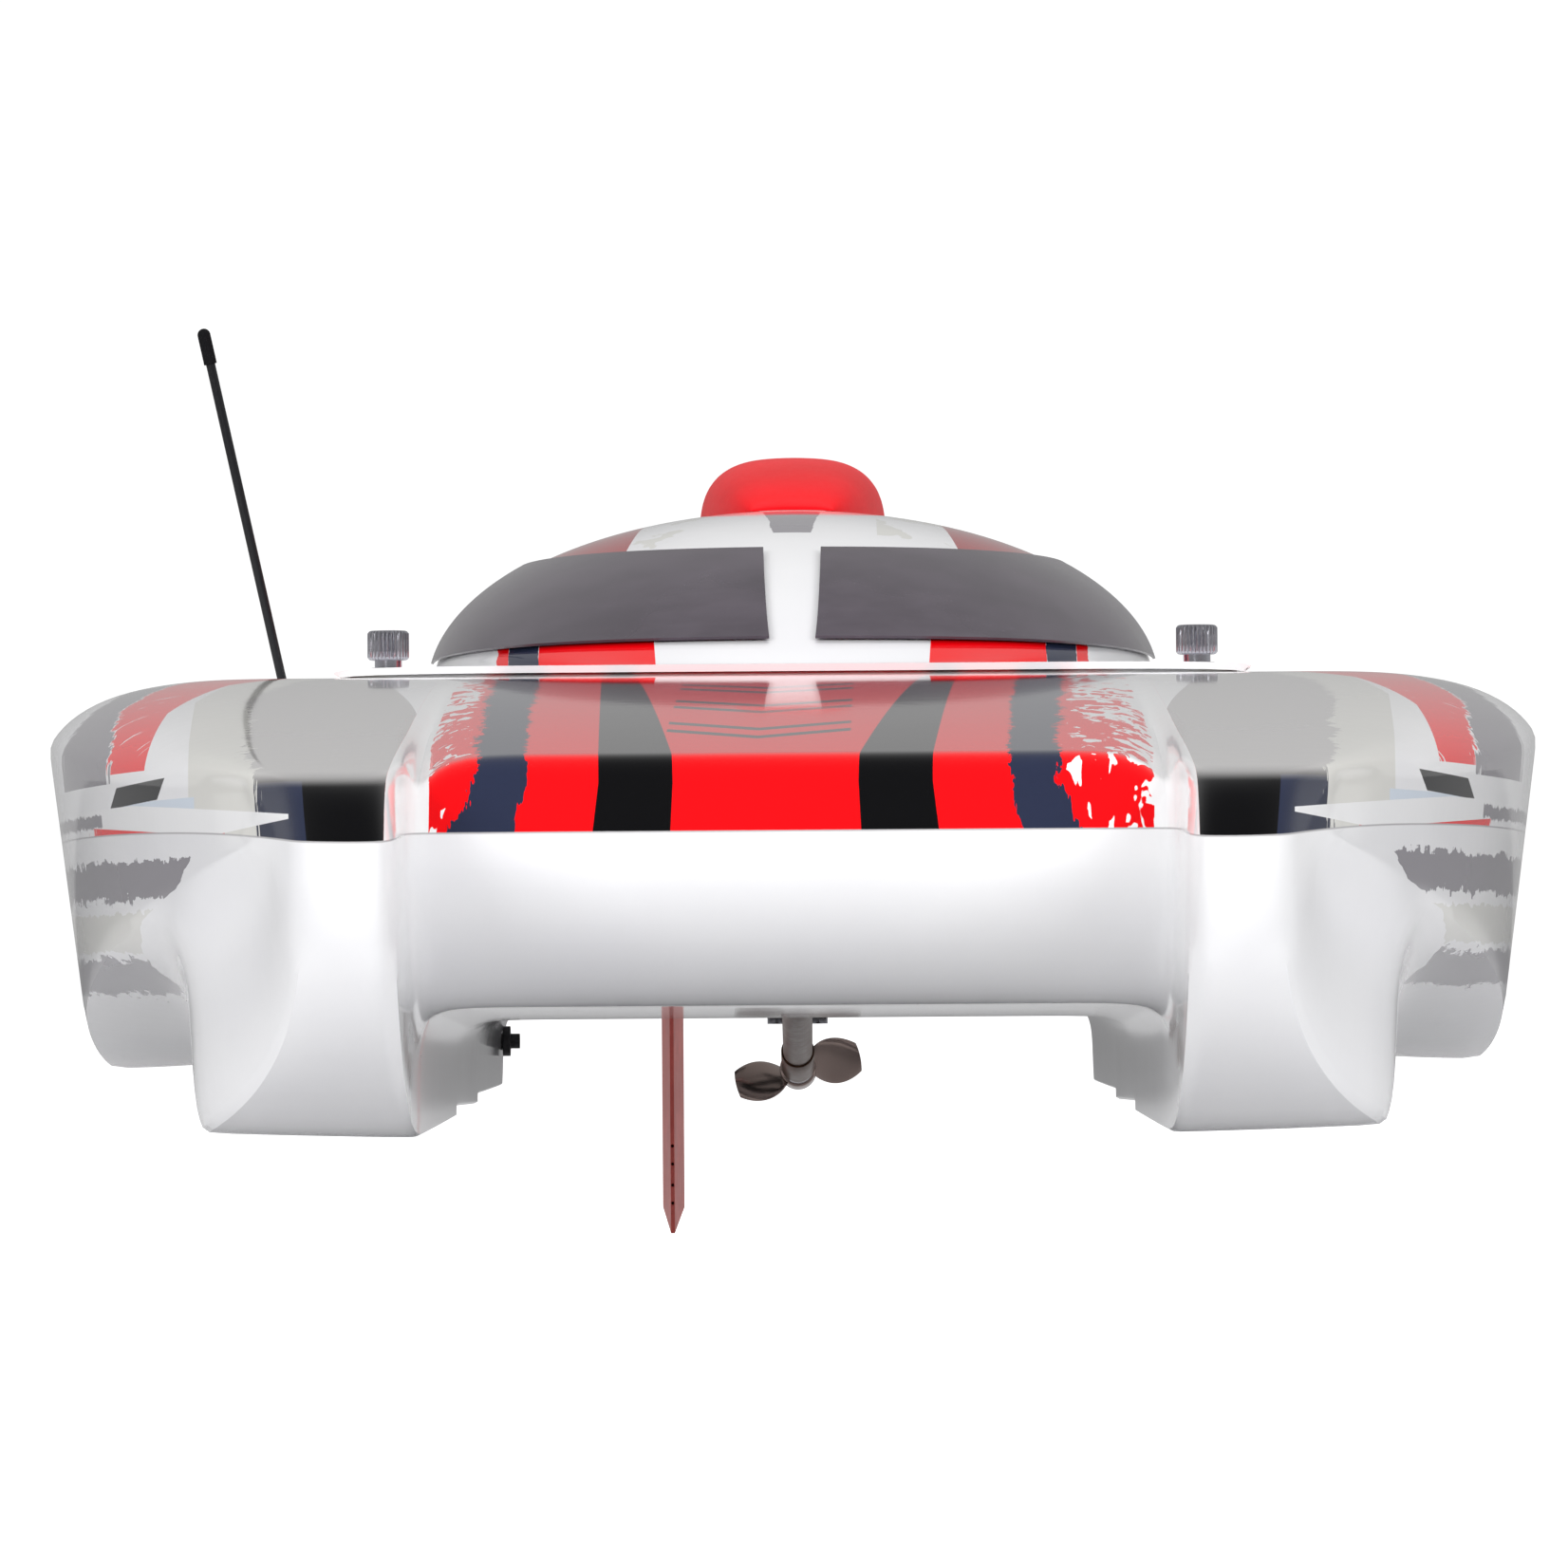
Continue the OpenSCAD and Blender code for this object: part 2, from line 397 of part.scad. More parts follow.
module tube_fairing() color("black") place() difference() {
    translate([0, 0, roof_aft - 2.2]) linear_extrude(2.15) union() {
        for (y = [926, 1034]) translate([0, y]) circle(10.8);
        translate([-10.8, 926]) square([21.6, 108]);
    }
    shaft_frame() rod(4.82, -300, -90);
}
module strut() color("tan") place() difference() {
    union() {
        shaft_frame() rod(5.4, -62, -14);
        translate([-2.2, 0, 0]) rotate([90, 0, 90]) linear_extrude(4.4)
            polygon([[1116, roof_aft - 2.6], [1142, roof_aft - 2.6], [1150, 8], [1127, 10]]);
        box([-11, 1098, roof_aft - 3], [11, 1146, roof_aft - 0.05]);
    }
    shaft_frame() rod(3.6, -70, -10);
    for (x = [-7, 7]) for (y = [1103, 1141]) translate([x, y, roof_aft - 5]) cylinder(r = 1.6, h = 8);
}
module strut_bushes() color("goldenrod") place() shaft_frame() for (z = [-61.9, -27]) tube(3.58, shaft_r + 0.05, z, z + 12.8);
module propeller_shaft() color("silver") place() shaft_frame() rod(shaft_r, -75, 15);
module drive_dog() color("silver") place() shaft_frame() difference() {
    rod(5.2, -13, -7);
    rod(shaft_r, -14, 0);
    for (a = [0, 180]) rotate(a) translate([3, -1, -9.02]) cube([4, 2, 3]);
}
// one blade: rings of an aerofoil section wrapped on cylinders, pitched like a real screw
BL_N = 9;
function blade_pt(i, k, side) = let (u = i / (BL_N - 1), r = lerp(4.6, prop_r, u),
        chord = 4 + 15 * pow(sin(12 + 150 * pow(u, 0.9)), 0.8), pitch = 58 - 34 * u, v = k / 6 - 0.5,
        th = 1.1 * (1 - 0.55 * u) * sqrt(max(0.02, 1 - pow(2 * v, 2))) + 0.12,
        c = chord * v + 3.5 * u, cup = 2.2 * pow(2 * v, 2) * u * 0.5,
        ax = c * sin(pitch) + (side * th + cup) * cos(pitch), tg = c * cos(pitch) - (side * th + cup) * sin(pitch),
        an = tg / r * 57.3)
    [r * cos(an), r * sin(an), ax];
module blade() grid_shell([for (i = [0:BL_N - 1]) for (k = [0:6]) blade_pt(i, k, 1)],
    [for (i = [0:BL_N - 1]) for (k = [0:6]) blade_pt(i, k, -1)], BL_N, 7, 1);
module propeller() color("silver") place() shaft_frame() rotate(-20) difference() {
    union() {
        rod(6, -7, 7);
        blade();
        rotate(180) blade();
        for (a = [20, 200]) rotate(a) translate([3.1, -0.95, -9]) cube([2, 1.9, 3]);
    }
    rod(shaft_r, -10, 10);
}
module prop_nut() color("gold") place() shaft_frame() difference() {
    translate([0, 0, 7.02]) cylinder(r = 4.4, h = 4.4, $fn = 6);
    rod(shaft_r, 5, 20);
}

// ---- steering ------------------------------------------------------------
module at_pivot(z = 0) translate([rudder_x, pivot_y, z]) children();
module rudder_bracket() color("slategray") place() difference() {
    union() {
        box([rudder_x - 13, L + 0.05, 30], [rudder_x + 13, L + 4, 67]);
        for (z = [31, 62]) {
            box([rudder_x - 5, L + 3, z], [rudder_x + 5, pivot_y, z + 5]);
            at_pivot(z) cylinder(r = 5, h = 5);
        }
    }
    at_pivot(20) cylinder(r = 2, h = 60);
    translate([rudder_x + link_r, L, rod_z]) rotate([-90, 0, 0]) cylinder(r = 6.4, h = 30);
    for (x = [-9, 0]) for (z = [41, 55]) translate([rudder_x + x, L - 1, z]) rotate([-90, 0, 0]) cylinder(r = 1.6, h = 8);
}
module stern_screws() color("silver") place() {
    for (x = [-9, 0]) for (z = [41, 55]) translate([rudder_x + x, L, z]) rotate([-90, 0, 0]) {
        rod(1.5, 0.1, 5);
        rod(2.8, 4.05, 6.6);
    }
    for (x = [-7, 7]) for (y = [1103, 1141]) translate([x, y, 0]) {
        rod(1.5, roof_aft - 4, roof_aft - 0.1);
        rod(2.7, roof_aft - 5, roof_aft - 3.05);
    }
}
module rudder_pin() color("silver") place() at_pivot() {
    rod(2, 28, 69);
    rod(3.4, 67.05, 69);
    rod(3.2, 29, 30.95);
}
module rudder_holder() color("gray") place() difference() {
    union() {
        at_pivot() rod(5, 36.2, 61.8);
        for (s = [-1, 1]) translate([rudder_x, 0, 0]) {
            box([s > 0 ? 3.75 : -6.25, pivot_y + 8, 36.2], [s > 0 ? 6.25 : -3.75, pivot_y + 32, 61.8]);
        }
        box([rudder_x - 6.25, pivot_y + 3, 36.2], [rudder_x + 6.25, pivot_y + 8.2, 61.8]);
        box([rudder_x, pivot_y - 4, rod_z - 4.4], [rudder_x + link_r, pivot_y + 4, rod_z - 2.4]);
        translate([rudder_x + link_r, pivot_y, rod_z - 4.4]) cylinder(r = 4, h = 2);
        translate([rudder_x + link_r, pivot_y, rod_z - 4]) cylinder(r = 1.25, h = 6.4);
    }
    at_pivot(30) cylinder(r = 2.05, h = 40);
    translate([rudder_x - 10, pivot_y + 20, 52]) rotate([0, 90, 0]) cylinder(r = 1.75, h = 20);
    translate([rudder_x - 10, pivot_y + 26, 42]) rotate([0, 90, 0]) cylinder(r = 1.2, h = 20);
}
module kick_bolt() color("dimgray") place() translate([rudder_x, pivot_y + 20, 52]) rotate([0, 90, 0]) {
    rod(1.75, -7, 7);
    rod(3.2, 6.27, 8.6);
    rod(3.2, -8.6, -6.27);
}
// wedge blade, thin at the leading edge, raked to a point
module rudder_blade() color("indianred") place() difference() {
    intersection() {
        translate([rudder_x, 0, -rudder_drop]) linear_extrude(rudder_drop + 60)
            polygon([[0.65, pivot_y + 11], [3.65, pivot_y + 36], [-3.65, pivot_y + 36], [-0.65, pivot_y + 11]]);
        translate([rudder_x - 6, 0, 0]) rotate([90, 0, 90]) linear_extrude(12)
            polygon([[pivot_y + 10, 57], [pivot_y + 37, 57], [pivot_y + 37, -rudder_drop + 8.5],
                [pivot_y + 11, -rudder_drop], [pivot_y + 10, -rudder_drop]]);
    }
    translate([rudder_x - 10, pivot_y + 20, 52]) rotate([0, 90, 0]) cylinder(r = 1.8, h = 20);
    for (z = [-40, -34, -27, -21]) translate([rudder_x, pivot_y + 8, z]) rotate([-90, 0, 0]) cylinder(r = 0.55, h = 12);
    translate([rudder_x, pivot_y + 20, -42]) cylinder(r = 0.9, h = 76);
    translate([rudder_x, pivot_y + 20, 31]) rotate([-90, 0, 0]) cylinder(r = 0.8, h = 20);
}
module servo() color("black") place() translate([rudder_x, servo_y, 0]) difference() {
    union() {
        box([-10, -10, floor_z + 3.2], [10, 31, 53]);
        box([-10, -17, 44], [10, 38, 46.5]);
        rod(6, 50, 54.6);
        rod(2.4, 50, 59);
    }
    for (y = [-13.5, 34.5]) for (x = [-5, 5]) translate([x, y, 40]) cylinder(r = 1.6, h = 10);
}
module servo_mount() color("silver") place() translate([rudder_x, servo_y, 0]) difference() {
    union() {
        box([-14, -20, floor_z + 0.4], [14, 41, floor_z + 3]);
        box([-10, -20, floor_z + 2], [10, -10.2, 43.95]);
        box([-10, 31.2, floor_z + 2], [10, 41, 43.95]);
    }
    for (y = [-13.5, 34.5]) for (x = [-5, 5]) translate([x, y, 36]) cylinder(r = 1.2, h = 10);
}
module servo_horn() color("silver") place() translate([rudder_x, servo_y, 0]) difference() {
    union() {
        rod(4.5, rod_z - 4.6, rod_z - 2.4);
        box([0, -3, rod_z - 4.4], [link_r, 3, rod_z - 2.4]);
        translate([link_r, 0, 0]) rod(3, rod_z - 4.4, rod_z - 2.4);
        translate([link_r, 0, 0]) rod(1.25, rod_z - 3, rod_z + 2.4);
    }
    rod(2.45, 40, 70);
}
module pushrod() color("silver") place() translate([rudder_x + link_r, 0, 0]) {
    for (y = [servo_y, pivot_y]) translate([0, y, 0]) tube(2.6, 1.3, rod_z - 1.6, rod_z + 1.6);
    translate([0, servo_y + 2.3, rod_z]) rotate([-90, 0, 0]) cylinder(r = 1, h = pivot_y - servo_y - 4.6);
    for (y = [servo_y + 2.4, pivot_y - 14.4]) translate([0, y, rod_z]) rotate([-90, 0, 0]) cylinder(r = 1.7, h = 12);
}
module pushrod_boot() color("black") place() translate([rudder_x + link_r, L, rod_z]) rotate([-90, 0, 0]) difference() {
    union() {
        rod(5, -8, 2);
        rod(6.3, 0.05, 2);
    }
    rod(3.7, -10, 5);
}

// ---- electrics and cooling -----------------------------------------------
module radio_box() color("lightgray") place() difference() {
    box([-78, 770, floor_z + 0.4], [-24, 852, 56]);
    box([-76, 772, floor_z + 2.4], [-26, 850, 60]);
}
module radio_lid() color("lightblue") place() {
    box([-79, 769, 56.05], [-23, 853, 58]);
    difference() {
        box([-75.9, 772.1, 54], [-26.1, 849.9, 56.1]);
        box([-73.9, 774.1, 53], [-28.1, 847.9, 56.05]);
    }
}
module receiver() color("black") place() box([-68, 785, floor_z + 2.45], [-38, 835, floor_z + 16]);
module speed_control() color("darkslategray") place() {
    difference() {
        box([22, 770, floor_z + 0.4], [66, 856, floor_z + 24]);
        for (y = [778:7:848]) box([20, y, floor_z + 18], [68, y + 3.5, floor_z + 26]);
    }
    for (y = [776, 850]) translate([66, y, floor_z + 12]) rotate([0, 90, 0]) tube(2.4, 1.2, -0.1, 8);
}
module battery_tray() color("dimgray") place() mirrored() difference() {
    box([26, 420, floor_z + 0.4 + 1], [80, 596, floor_z + 8]);
    box([29, 423, floor_z + 3], [77, 593, floor_z + 12]);
    for (y = [450, 560]) box([20, y, floor_z + 1], [90, y + 14, floor_z + 2.9]);
}
module battery_packs() color("steelblue") place() mirrored() box([30, 424, floor_z + 3.05], [76, 592, floor_z + 44]);
module battery_straps() color("black") place() mirrored() for (y = [470, 545]) difference() {
    box([24.2, y, floor_z + 8.1], [81.8, y + 20, floor_z + 45.4]);
    box([25.6, y - 1, floor_z + 7], [80.4, y + 21, floor_z + 44.05]);
}
module nipple(r_in) {
    rod(2.9, -3.5, 0.1);
    rod(4.6, 0.05, 2);
    rod(2.2, 0, 11);
    rod(2.2, -20, 0);
    translate([0, 0, -9]) cylinder(r = 4.2, h = 2.8, $fn = 6);
}
module inlet_nipple() color("silver") place() for (x = [20]) translate([x, L, 40]) rotate([-90, 0, 0]) difference() {
    nipple(1.3);
    rod(1.3, -21, 14);
}
module outlet_fitting() color("black") place() translate([-tunnel(1090), 1090, 15]) rotate([0, 90, 0]) difference() {
    union() {
        rod(2.9, -4, 0.4);
        rod(4.8, 0.55, 3);
        rod(2.4, 0.2, 6);
        rod(2.3, -12, -3.9);
    }
    rod(1.4, -15, 10);
}
module drain_plug() color("black") place() translate([70, L, 40]) rotate([-90, 0, 0]) {
    rod(2.95, -6, 0.1);
    rod(5.4, 0.05, 3);
}
// a hose swept through its bends
module hose(p, r) for (i = [0:len(p) - 2]) hull() {
    translate(p[i]) sphere(r, $fn = 12);
    translate(p[i + 1]) sphere(r, $fn = 12);
}
module cooling_hoses() color("lightskyblue") place() difference() {
    union() {
        hose([[20, L - 13, 40], [16, 1080, 46], [10, 965, 66], [14, 800, 82], [4, 700, 95], [0, 689.9, 95], [0, 688.8, 84.5]], 3.2);
        hose([[0, 659, 87.7], [0, 659.7, 95], [10, 668, 97], [60, 720, 80], [82, 765, 50], [80, 776, floor_z + 12],
            [71.2, 776, floor_z + 12]], 3.2);
        hose([[71.2, 850, floor_z + 12], [80, 853, floor_z + 13], [80, 885, 56], [50, 925, 78], [-60, 940, 82], [-92, 962, 60],
            [-110, 1010, 48], [-112, 1078, 22], [-111, 1088, 15.5], [-104.5, 1090, 15]], 3.2);
    }
    translate([20, L - 8, 40]) rotate([90, 0, 0]) cylinder(r = 2.35, h = 14);
    shaft_frame() for (z = [-525, -495]) translate([0, 0, z]) rotate([90, 0, 0]) rod(2.55, 18, 30.4);
    for (y = [776, 850]) translate([65, y, floor_z + 12]) rotate([0, 90, 0]) cylinder(r = 2.55, h = 9.4);
    translate([-107.5, 1090, 15]) rotate([0, 90, 0]) cylinder(r = 2.45, h = 12);
}

// ---- antenna -------------------------------------------------------------
module lean() translate([-136, 600, deck_z]) rotate([0, -12.4, 0]) children();
module antenna_mount() color("black") place() difference() {
    translate([-136, 600, 0]) {
        rod(2.95, deck_in - 5, deck_z + 0.1);
        rod(4.6, deck_z + 0.05, deck_z + 2.5);
    }
    lean() rod(1.26, -12, 12);
}
module antenna_tube() color("black") place() lean() rod(1.25, -5, 101);
module antenna_cap() color("black") place() lean() difference() {
    union() {
        rod(1.75, 94, 102);
        translate([0, 0, 102]) sphere(1.75);
    }
    rod(1.26, 93, 101.05);
}

// ---- trim tabs on the sponson transoms -----------------------------------
module tab_hinges() color("silver") place() mirrored() {
    box([112, L + 0.05, 3], [156, L + 2, 20]);
    for (x = [112, 146]) {
        translate([x, L + 5, 5]) rotate([0, 90, 0]) cylinder(r = 2.4, h = 10);
        box([x, L + 1.9, 3.4], [x + 10, L + 5, 6.6]);
    }
    translate([112, L + 5, 5]) rotate([0, 90, 0]) cylinder(r = 1.2, h = 44);
}
module trim_tab() difference() {
    union() {
        translate([122.3, L + 5, 5]) rotate([0, 90, 0]) cylinder(r = 2.4, h = 23.4);
        box([122.3, L + 5, 4], [145.7, L + 9, 6]);
        box([112, L + 8.5, 4], [156, L + 44, 6]);
    }
    translate([100, L + 5, 5]) rotate([0, 90, 0]) cylinder(r = 1.25, h = 60);
}
module trim_tab_port() color("silver") place() trim_tab();
module trim_tab_stbd() color("silver") place() mirror([1, 0, 0]) trim_tab();

hull_tub();
deck_moulding();
hatch_coaming();
hatch_inserts();
bulkheads();
transom_doubler();
sponson_foam();
hatch_moulding();
hatch_seal();
windscreen_stbd();
windscreen_port();
air_scoop();
thumb_screw_fs();
thumb_screw_fp();
thumb_screw_rs();
thumb_screw_rp();
screw_washers();
motor_mount();
mount_screws();
motor_can();
water_jacket();
motor_rotor();
shaft_coupler();
flex_shaft();
stuffing_tube();
tube_fairing();
strut();
strut_bushes();
stern_screws();
propeller_shaft();
drive_dog();
propeller();
prop_nut();
rudder_bracket();
rudder_pin();
rudder_holder();
kick_bolt();
rudder_blade();
servo();
servo_mount();
servo_horn();
pushrod();
pushrod_boot();
radio_box();
radio_lid();
receiver();
speed_control();
battery_tray();
battery_packs();
battery_straps();
inlet_nipple();
outlet_fitting();
cooling_hoses();
antenna_mount();
antenna_tube();
antenna_cap();
drain_plug();
tab_hinges();
trim_tab_stbd();
trim_tab_port();
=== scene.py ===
"""Looks of a radio-controlled racing catamaran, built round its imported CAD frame.

Lengths in the shape functions are millimetres in boat stations: x to port, y aft from the sponson tips,
z up from the keel plane. place() turns them into the row frame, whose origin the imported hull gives.
"""

import math

import bmesh
import bpy
import numpy as np
from mathutils import Matrix, Vector


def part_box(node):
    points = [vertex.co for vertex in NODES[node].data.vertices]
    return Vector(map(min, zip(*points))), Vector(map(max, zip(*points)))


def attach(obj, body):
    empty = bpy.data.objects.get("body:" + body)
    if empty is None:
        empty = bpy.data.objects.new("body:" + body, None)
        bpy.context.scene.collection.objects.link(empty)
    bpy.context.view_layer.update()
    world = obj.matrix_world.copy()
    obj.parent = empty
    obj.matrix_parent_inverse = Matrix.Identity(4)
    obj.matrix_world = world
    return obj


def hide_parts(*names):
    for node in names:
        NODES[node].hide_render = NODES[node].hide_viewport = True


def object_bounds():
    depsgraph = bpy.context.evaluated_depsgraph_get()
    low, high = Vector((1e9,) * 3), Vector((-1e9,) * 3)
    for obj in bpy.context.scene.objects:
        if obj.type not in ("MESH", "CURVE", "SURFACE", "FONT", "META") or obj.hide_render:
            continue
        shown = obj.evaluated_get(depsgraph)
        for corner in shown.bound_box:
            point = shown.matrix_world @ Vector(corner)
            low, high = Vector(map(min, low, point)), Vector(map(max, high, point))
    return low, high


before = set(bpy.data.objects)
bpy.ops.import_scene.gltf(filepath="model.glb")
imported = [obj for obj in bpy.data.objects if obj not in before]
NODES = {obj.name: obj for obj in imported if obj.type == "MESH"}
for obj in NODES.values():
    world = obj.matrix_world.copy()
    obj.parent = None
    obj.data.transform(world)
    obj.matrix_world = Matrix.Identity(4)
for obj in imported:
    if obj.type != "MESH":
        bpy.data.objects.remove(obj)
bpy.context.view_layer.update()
TUB_LO, TUB_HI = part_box("hull_tub")
ORIGIN = np.array([0.0, TUB_LO.y, TUB_LO.z])
LENGTH = (TUB_HI.y - TUB_LO.y) * 1000


def place(p):
    """Boat millimetres to the row frame in metres."""
    return np.asarray(p, float) * 0.001 + ORIGIN


def boat(v):
    """Row frame metres to boat millimetres."""
    return (np.asarray(v, float) - ORIGIN) * 1000


# ---- hull lines ----------------------------------------------------------------------------------------
def lerp(a, b, t):
    return a + (b - a) * t


def clamp(t):
    return min(1.0, max(0.0, t))


def ease(t):
    t = clamp(t)
    return t * t * (3 - 2 * t)


WIDEST_Y = 400.0


def half_beam(y):
    """Half the beam over the deck edge; the other lines below are widths and heights at station y too."""
    if y < WIDEST_Y:
        return 100 + 82.5 * (1 - (1 - y / WIDEST_Y) ** 1.85)
    return 182.5 - 14.5 * ((y - WIDEST_Y) / (LENGTH - WIDEST_Y)) ** 2


def tunnel(y):
    return 81 + 15 * (max(y, 0) / LENGTH) ** 1.4


def rim_z(y):
    return 63 + 5 * (1 - math.exp(-y / 70))


def roof(y):
    return 24.5 + 4 * clamp((450 - y) / 330) ** 1.5 + 0.3 * clamp((y - 850) / 80)


STEP_A, STEP_B = 440.0, 697.0


def keel(y):
    if y <= STEP_A:
        return 0.0
    if y <= STEP_B:
        return 2.8 * (1 - (y - STEP_A) / (STEP_B - STEP_A))
    return 2.6 * (1 - (y - STEP_B) / (LENGTH - STEP_B))


def chine_z(y):
    return 13 + 50.6 * clamp((425 - y) / 390) ** 1.04


def chine_x(y):
    return half_beam(y) - 10 * clamp((y - 35) / 345)


def edge_z(y):
    return 74 + 20 * clamp(y / 380) - 4 * clamp((y - 700) / 450) ** 2


def side_x(y, z):
    return lerp(chine_x(y), half_beam(y), clamp((z - chine_z(y)) / max(6, edge_z(y) - chine_z(y))))


def knuckle_z(y):
    return chine_z(y) * 0.62 + 7


def run_x(y):
    return 131 + 2 * clamp(y / 500)


def crest(y):
    return 75 + 34 * (1 - (1 - clamp(y / 372)) ** 1.4) - 9 * clamp((y - 950) / 200) ** 2


def groove(y):
    return 9 * clamp((300 - y) / 250) ** 1.2


HALF = 16
COLS = 2 * HALF + 1
NOSE_Y = 130.0
SET_BACK = [50, 50, 50, 50, 50, 46, 25, 5, 0, 0, 4, 12, 22, 30, 35, 39, 43]
FRONT_X = [0, 28, 55, 74, 79.3, 81.3, 81.6, 82.3, 86, 93]
NOSE = [0, 0.02, 0.05, 0.09, 0.15, 0.22, 0.30, 0.40, 0.52, 0.66, 0.82, 1]
AFT = [165, 205, 250, 300, 350, 400, STEP_A, STEP_A + 0.6, 500, 560, 625, STEP_B, STEP_B + 0.6]
AFT += [770, 850, 930, 1010, 1080, LENGTH]
NOSE_ROWS = len(NOSE)
ROWS = NOSE_ROWS + len(AFT)
ACROSS = [0, 0, 0, 0, 0, 0, 0.12, 0.25, 0.38, 0.5, 0.62, 0.74, 0.86, 0.955, 1, 1, 1]
CROWN = [1, 1, 1, 1, 1, 1, 1, 1, 1, 1, 0.98, 0.9, 0.72, 0.38, 0, 0, 0]
DECK_X = [0, 27, 54, 76.5, 80, 83.5]


def front_x(h):
    return FRONT_X[h] if h < 10 else half_beam(SET_BACK[h])


def hull_col(h, y):
    """The hull's (x, z) at station y: h runs from the tunnel roof out round the keel to the rim."""
    w, r, k, q = tunnel(y), roof(y), keel(y), run_x(y)
    cx, cz, kz, s = chine_x(y), chine_z(y), knuckle_z(y), rim_z(y)
    table = [
        (0, r), (0.36 * w, r), (0.7 * w, r), (w - 7, r), (w - 1.8, r - 1.8), (w, r - 7),
        (w + 0.2, (r - 7 + k) / 2), (w + 0.5, k + 0.7), (w + 1.8, k), (lerp(w, q, 0.5), k + 0.5),
        (q - 2, k + 1.3), (q + 0.6, k + 6),
        (q + 1.6, max(kz, k + 9)), (lerp(q + 1.6, cx, 0.55), lerp(kz, cz, 0.5) - 0.8), (cx, cz),
    ]
    if h < 15:
        return table[h]
    z = lerp(cz, s, 0.5) if h == 15 else s
    return side_x(y, z), z


def deck_col(h, y):
    """The deck's (x, z) at station y: h runs from the centreline out to the rim."""
    w, e, c, s = half_beam(y), edge_z(y), crest(y), rim_z(y)
    if h == 4:
        return 80, c - groove(y)
    if h < 6:
        return DECK_X[h], c
    if h < 15:
        return lerp(83.5, w, ACROSS[h]), lerp(e, c, CROWN[h])
    z = lerp(e, s, 0.5) if h == 15 else s
    return side_x(y, z), z


def row_y(i, h):
    return SET_BACK[h] + (NOSE_Y - SET_BACK[h]) * NOSE[i] if i < NOSE_ROWS else AFT[i - NOSE_ROWS]


def round_in(q):
    return (1 - (1 - q) ** 2.2) ** 0.62


def hull_pt(i, k):
    """The hull's grid point: row i from bow to stern, column k from starboard rim to port rim."""
    h, s = abs(k - HALF), (-1 if k < HALF else 1)
    y, q = row_y(i, h), (NOSE[i] if i < NOSE_ROWS else 1)
    g = hull_col(h, NOSE_Y if i < NOSE_ROWS else y)
    c = hull_col(h, max(y, SET_BACK[h]))
    zs = rim_z(SET_BACK[h])
    if i == 0:
        return s * front_x(h), y, zs
    if h == HALF:
        return s * side_x(y, rim_z(y)), y, rim_z(y)
    if h >= 14:
        return s * c[0], y, min(c[1], rim_z(y))
    return s * lerp(front_x(h), g[0], ease(q)), y, lerp(zs, g[1], round_in(q))


def deck_pt(i, k):
    """The deck's grid point, over the same rows and columns."""
    h, s = abs(k - HALF), (-1 if k < HALF else 1)
    y, q = row_y(i, h), (NOSE[i] if i < NOSE_ROWS else 1)
    g = deck_col(h, NOSE_Y if i < NOSE_ROWS else y)
    c = deck_col(h, y)
    zs = rim_z(SET_BACK[h])
    b = [0, 0.62, 0.93][i] if i < 3 else 1
    x = front_x(h) if i == 0 else c[0] if h >= 14 else lerp(front_x(h), g[0], q**0.8)
    z = zs if i == 0 else rim_z(y) if h == HALF else lerp(zs, c[1], b)
    return s * x, y, z


# ---- mesh helpers --------------------------------------------------------------------------------------
def link(obj):
    bpy.context.scene.collection.objects.link(obj)
    return obj


def mesh_object(name, verts, faces):
    mesh = bpy.data.meshes.new(name)
    mesh.from_pydata([tuple(v) for v in verts], [], faces)
    mesh.update()
    return link(bpy.data.objects.new(name, mesh))


def tidy(obj, dist=1e-6, normals=False):
    bm = bmesh.new()
    bm.from_mesh(obj.data)
    bmesh.ops.remove_doubles(bm, verts=bm.verts, dist=dist)
    bmesh.ops.dissolve_degenerate(bm, dist=dist, edges=bm.edges)
    if normals:
        bmesh.ops.recalc_face_normals(bm, faces=bm.faces)
    bm.to_mesh(obj.data)
    bm.free()
    return obj


def sharpen(obj, angle=35):
    """Smooth faces, with the edges sharper than angle kept hard."""
    mesh = obj.data
    mesh.polygons.foreach_set("use_smooth", [True] * len(mesh.polygons))
    bm = bmesh.new()
    bm.from_mesh(mesh)
    limit = math.radians(angle)
    for e in bm.edges:
        e.smooth = len(e.link_faces) == 2 and e.calc_face_angle(0) < limit
    bm.to_mesh(mesh)
    bm.free()
    return obj


def apply_all(obj):
    """The modifiers' result becomes the object's own mesh."""
    dg = bpy.context.evaluated_depsgraph_get()
    mesh = bpy.data.meshes.new_from_object(obj.evaluated_get(dg))
    obj.modifiers.clear()
    obj.data = mesh
    mesh.name = obj.name
    return obj


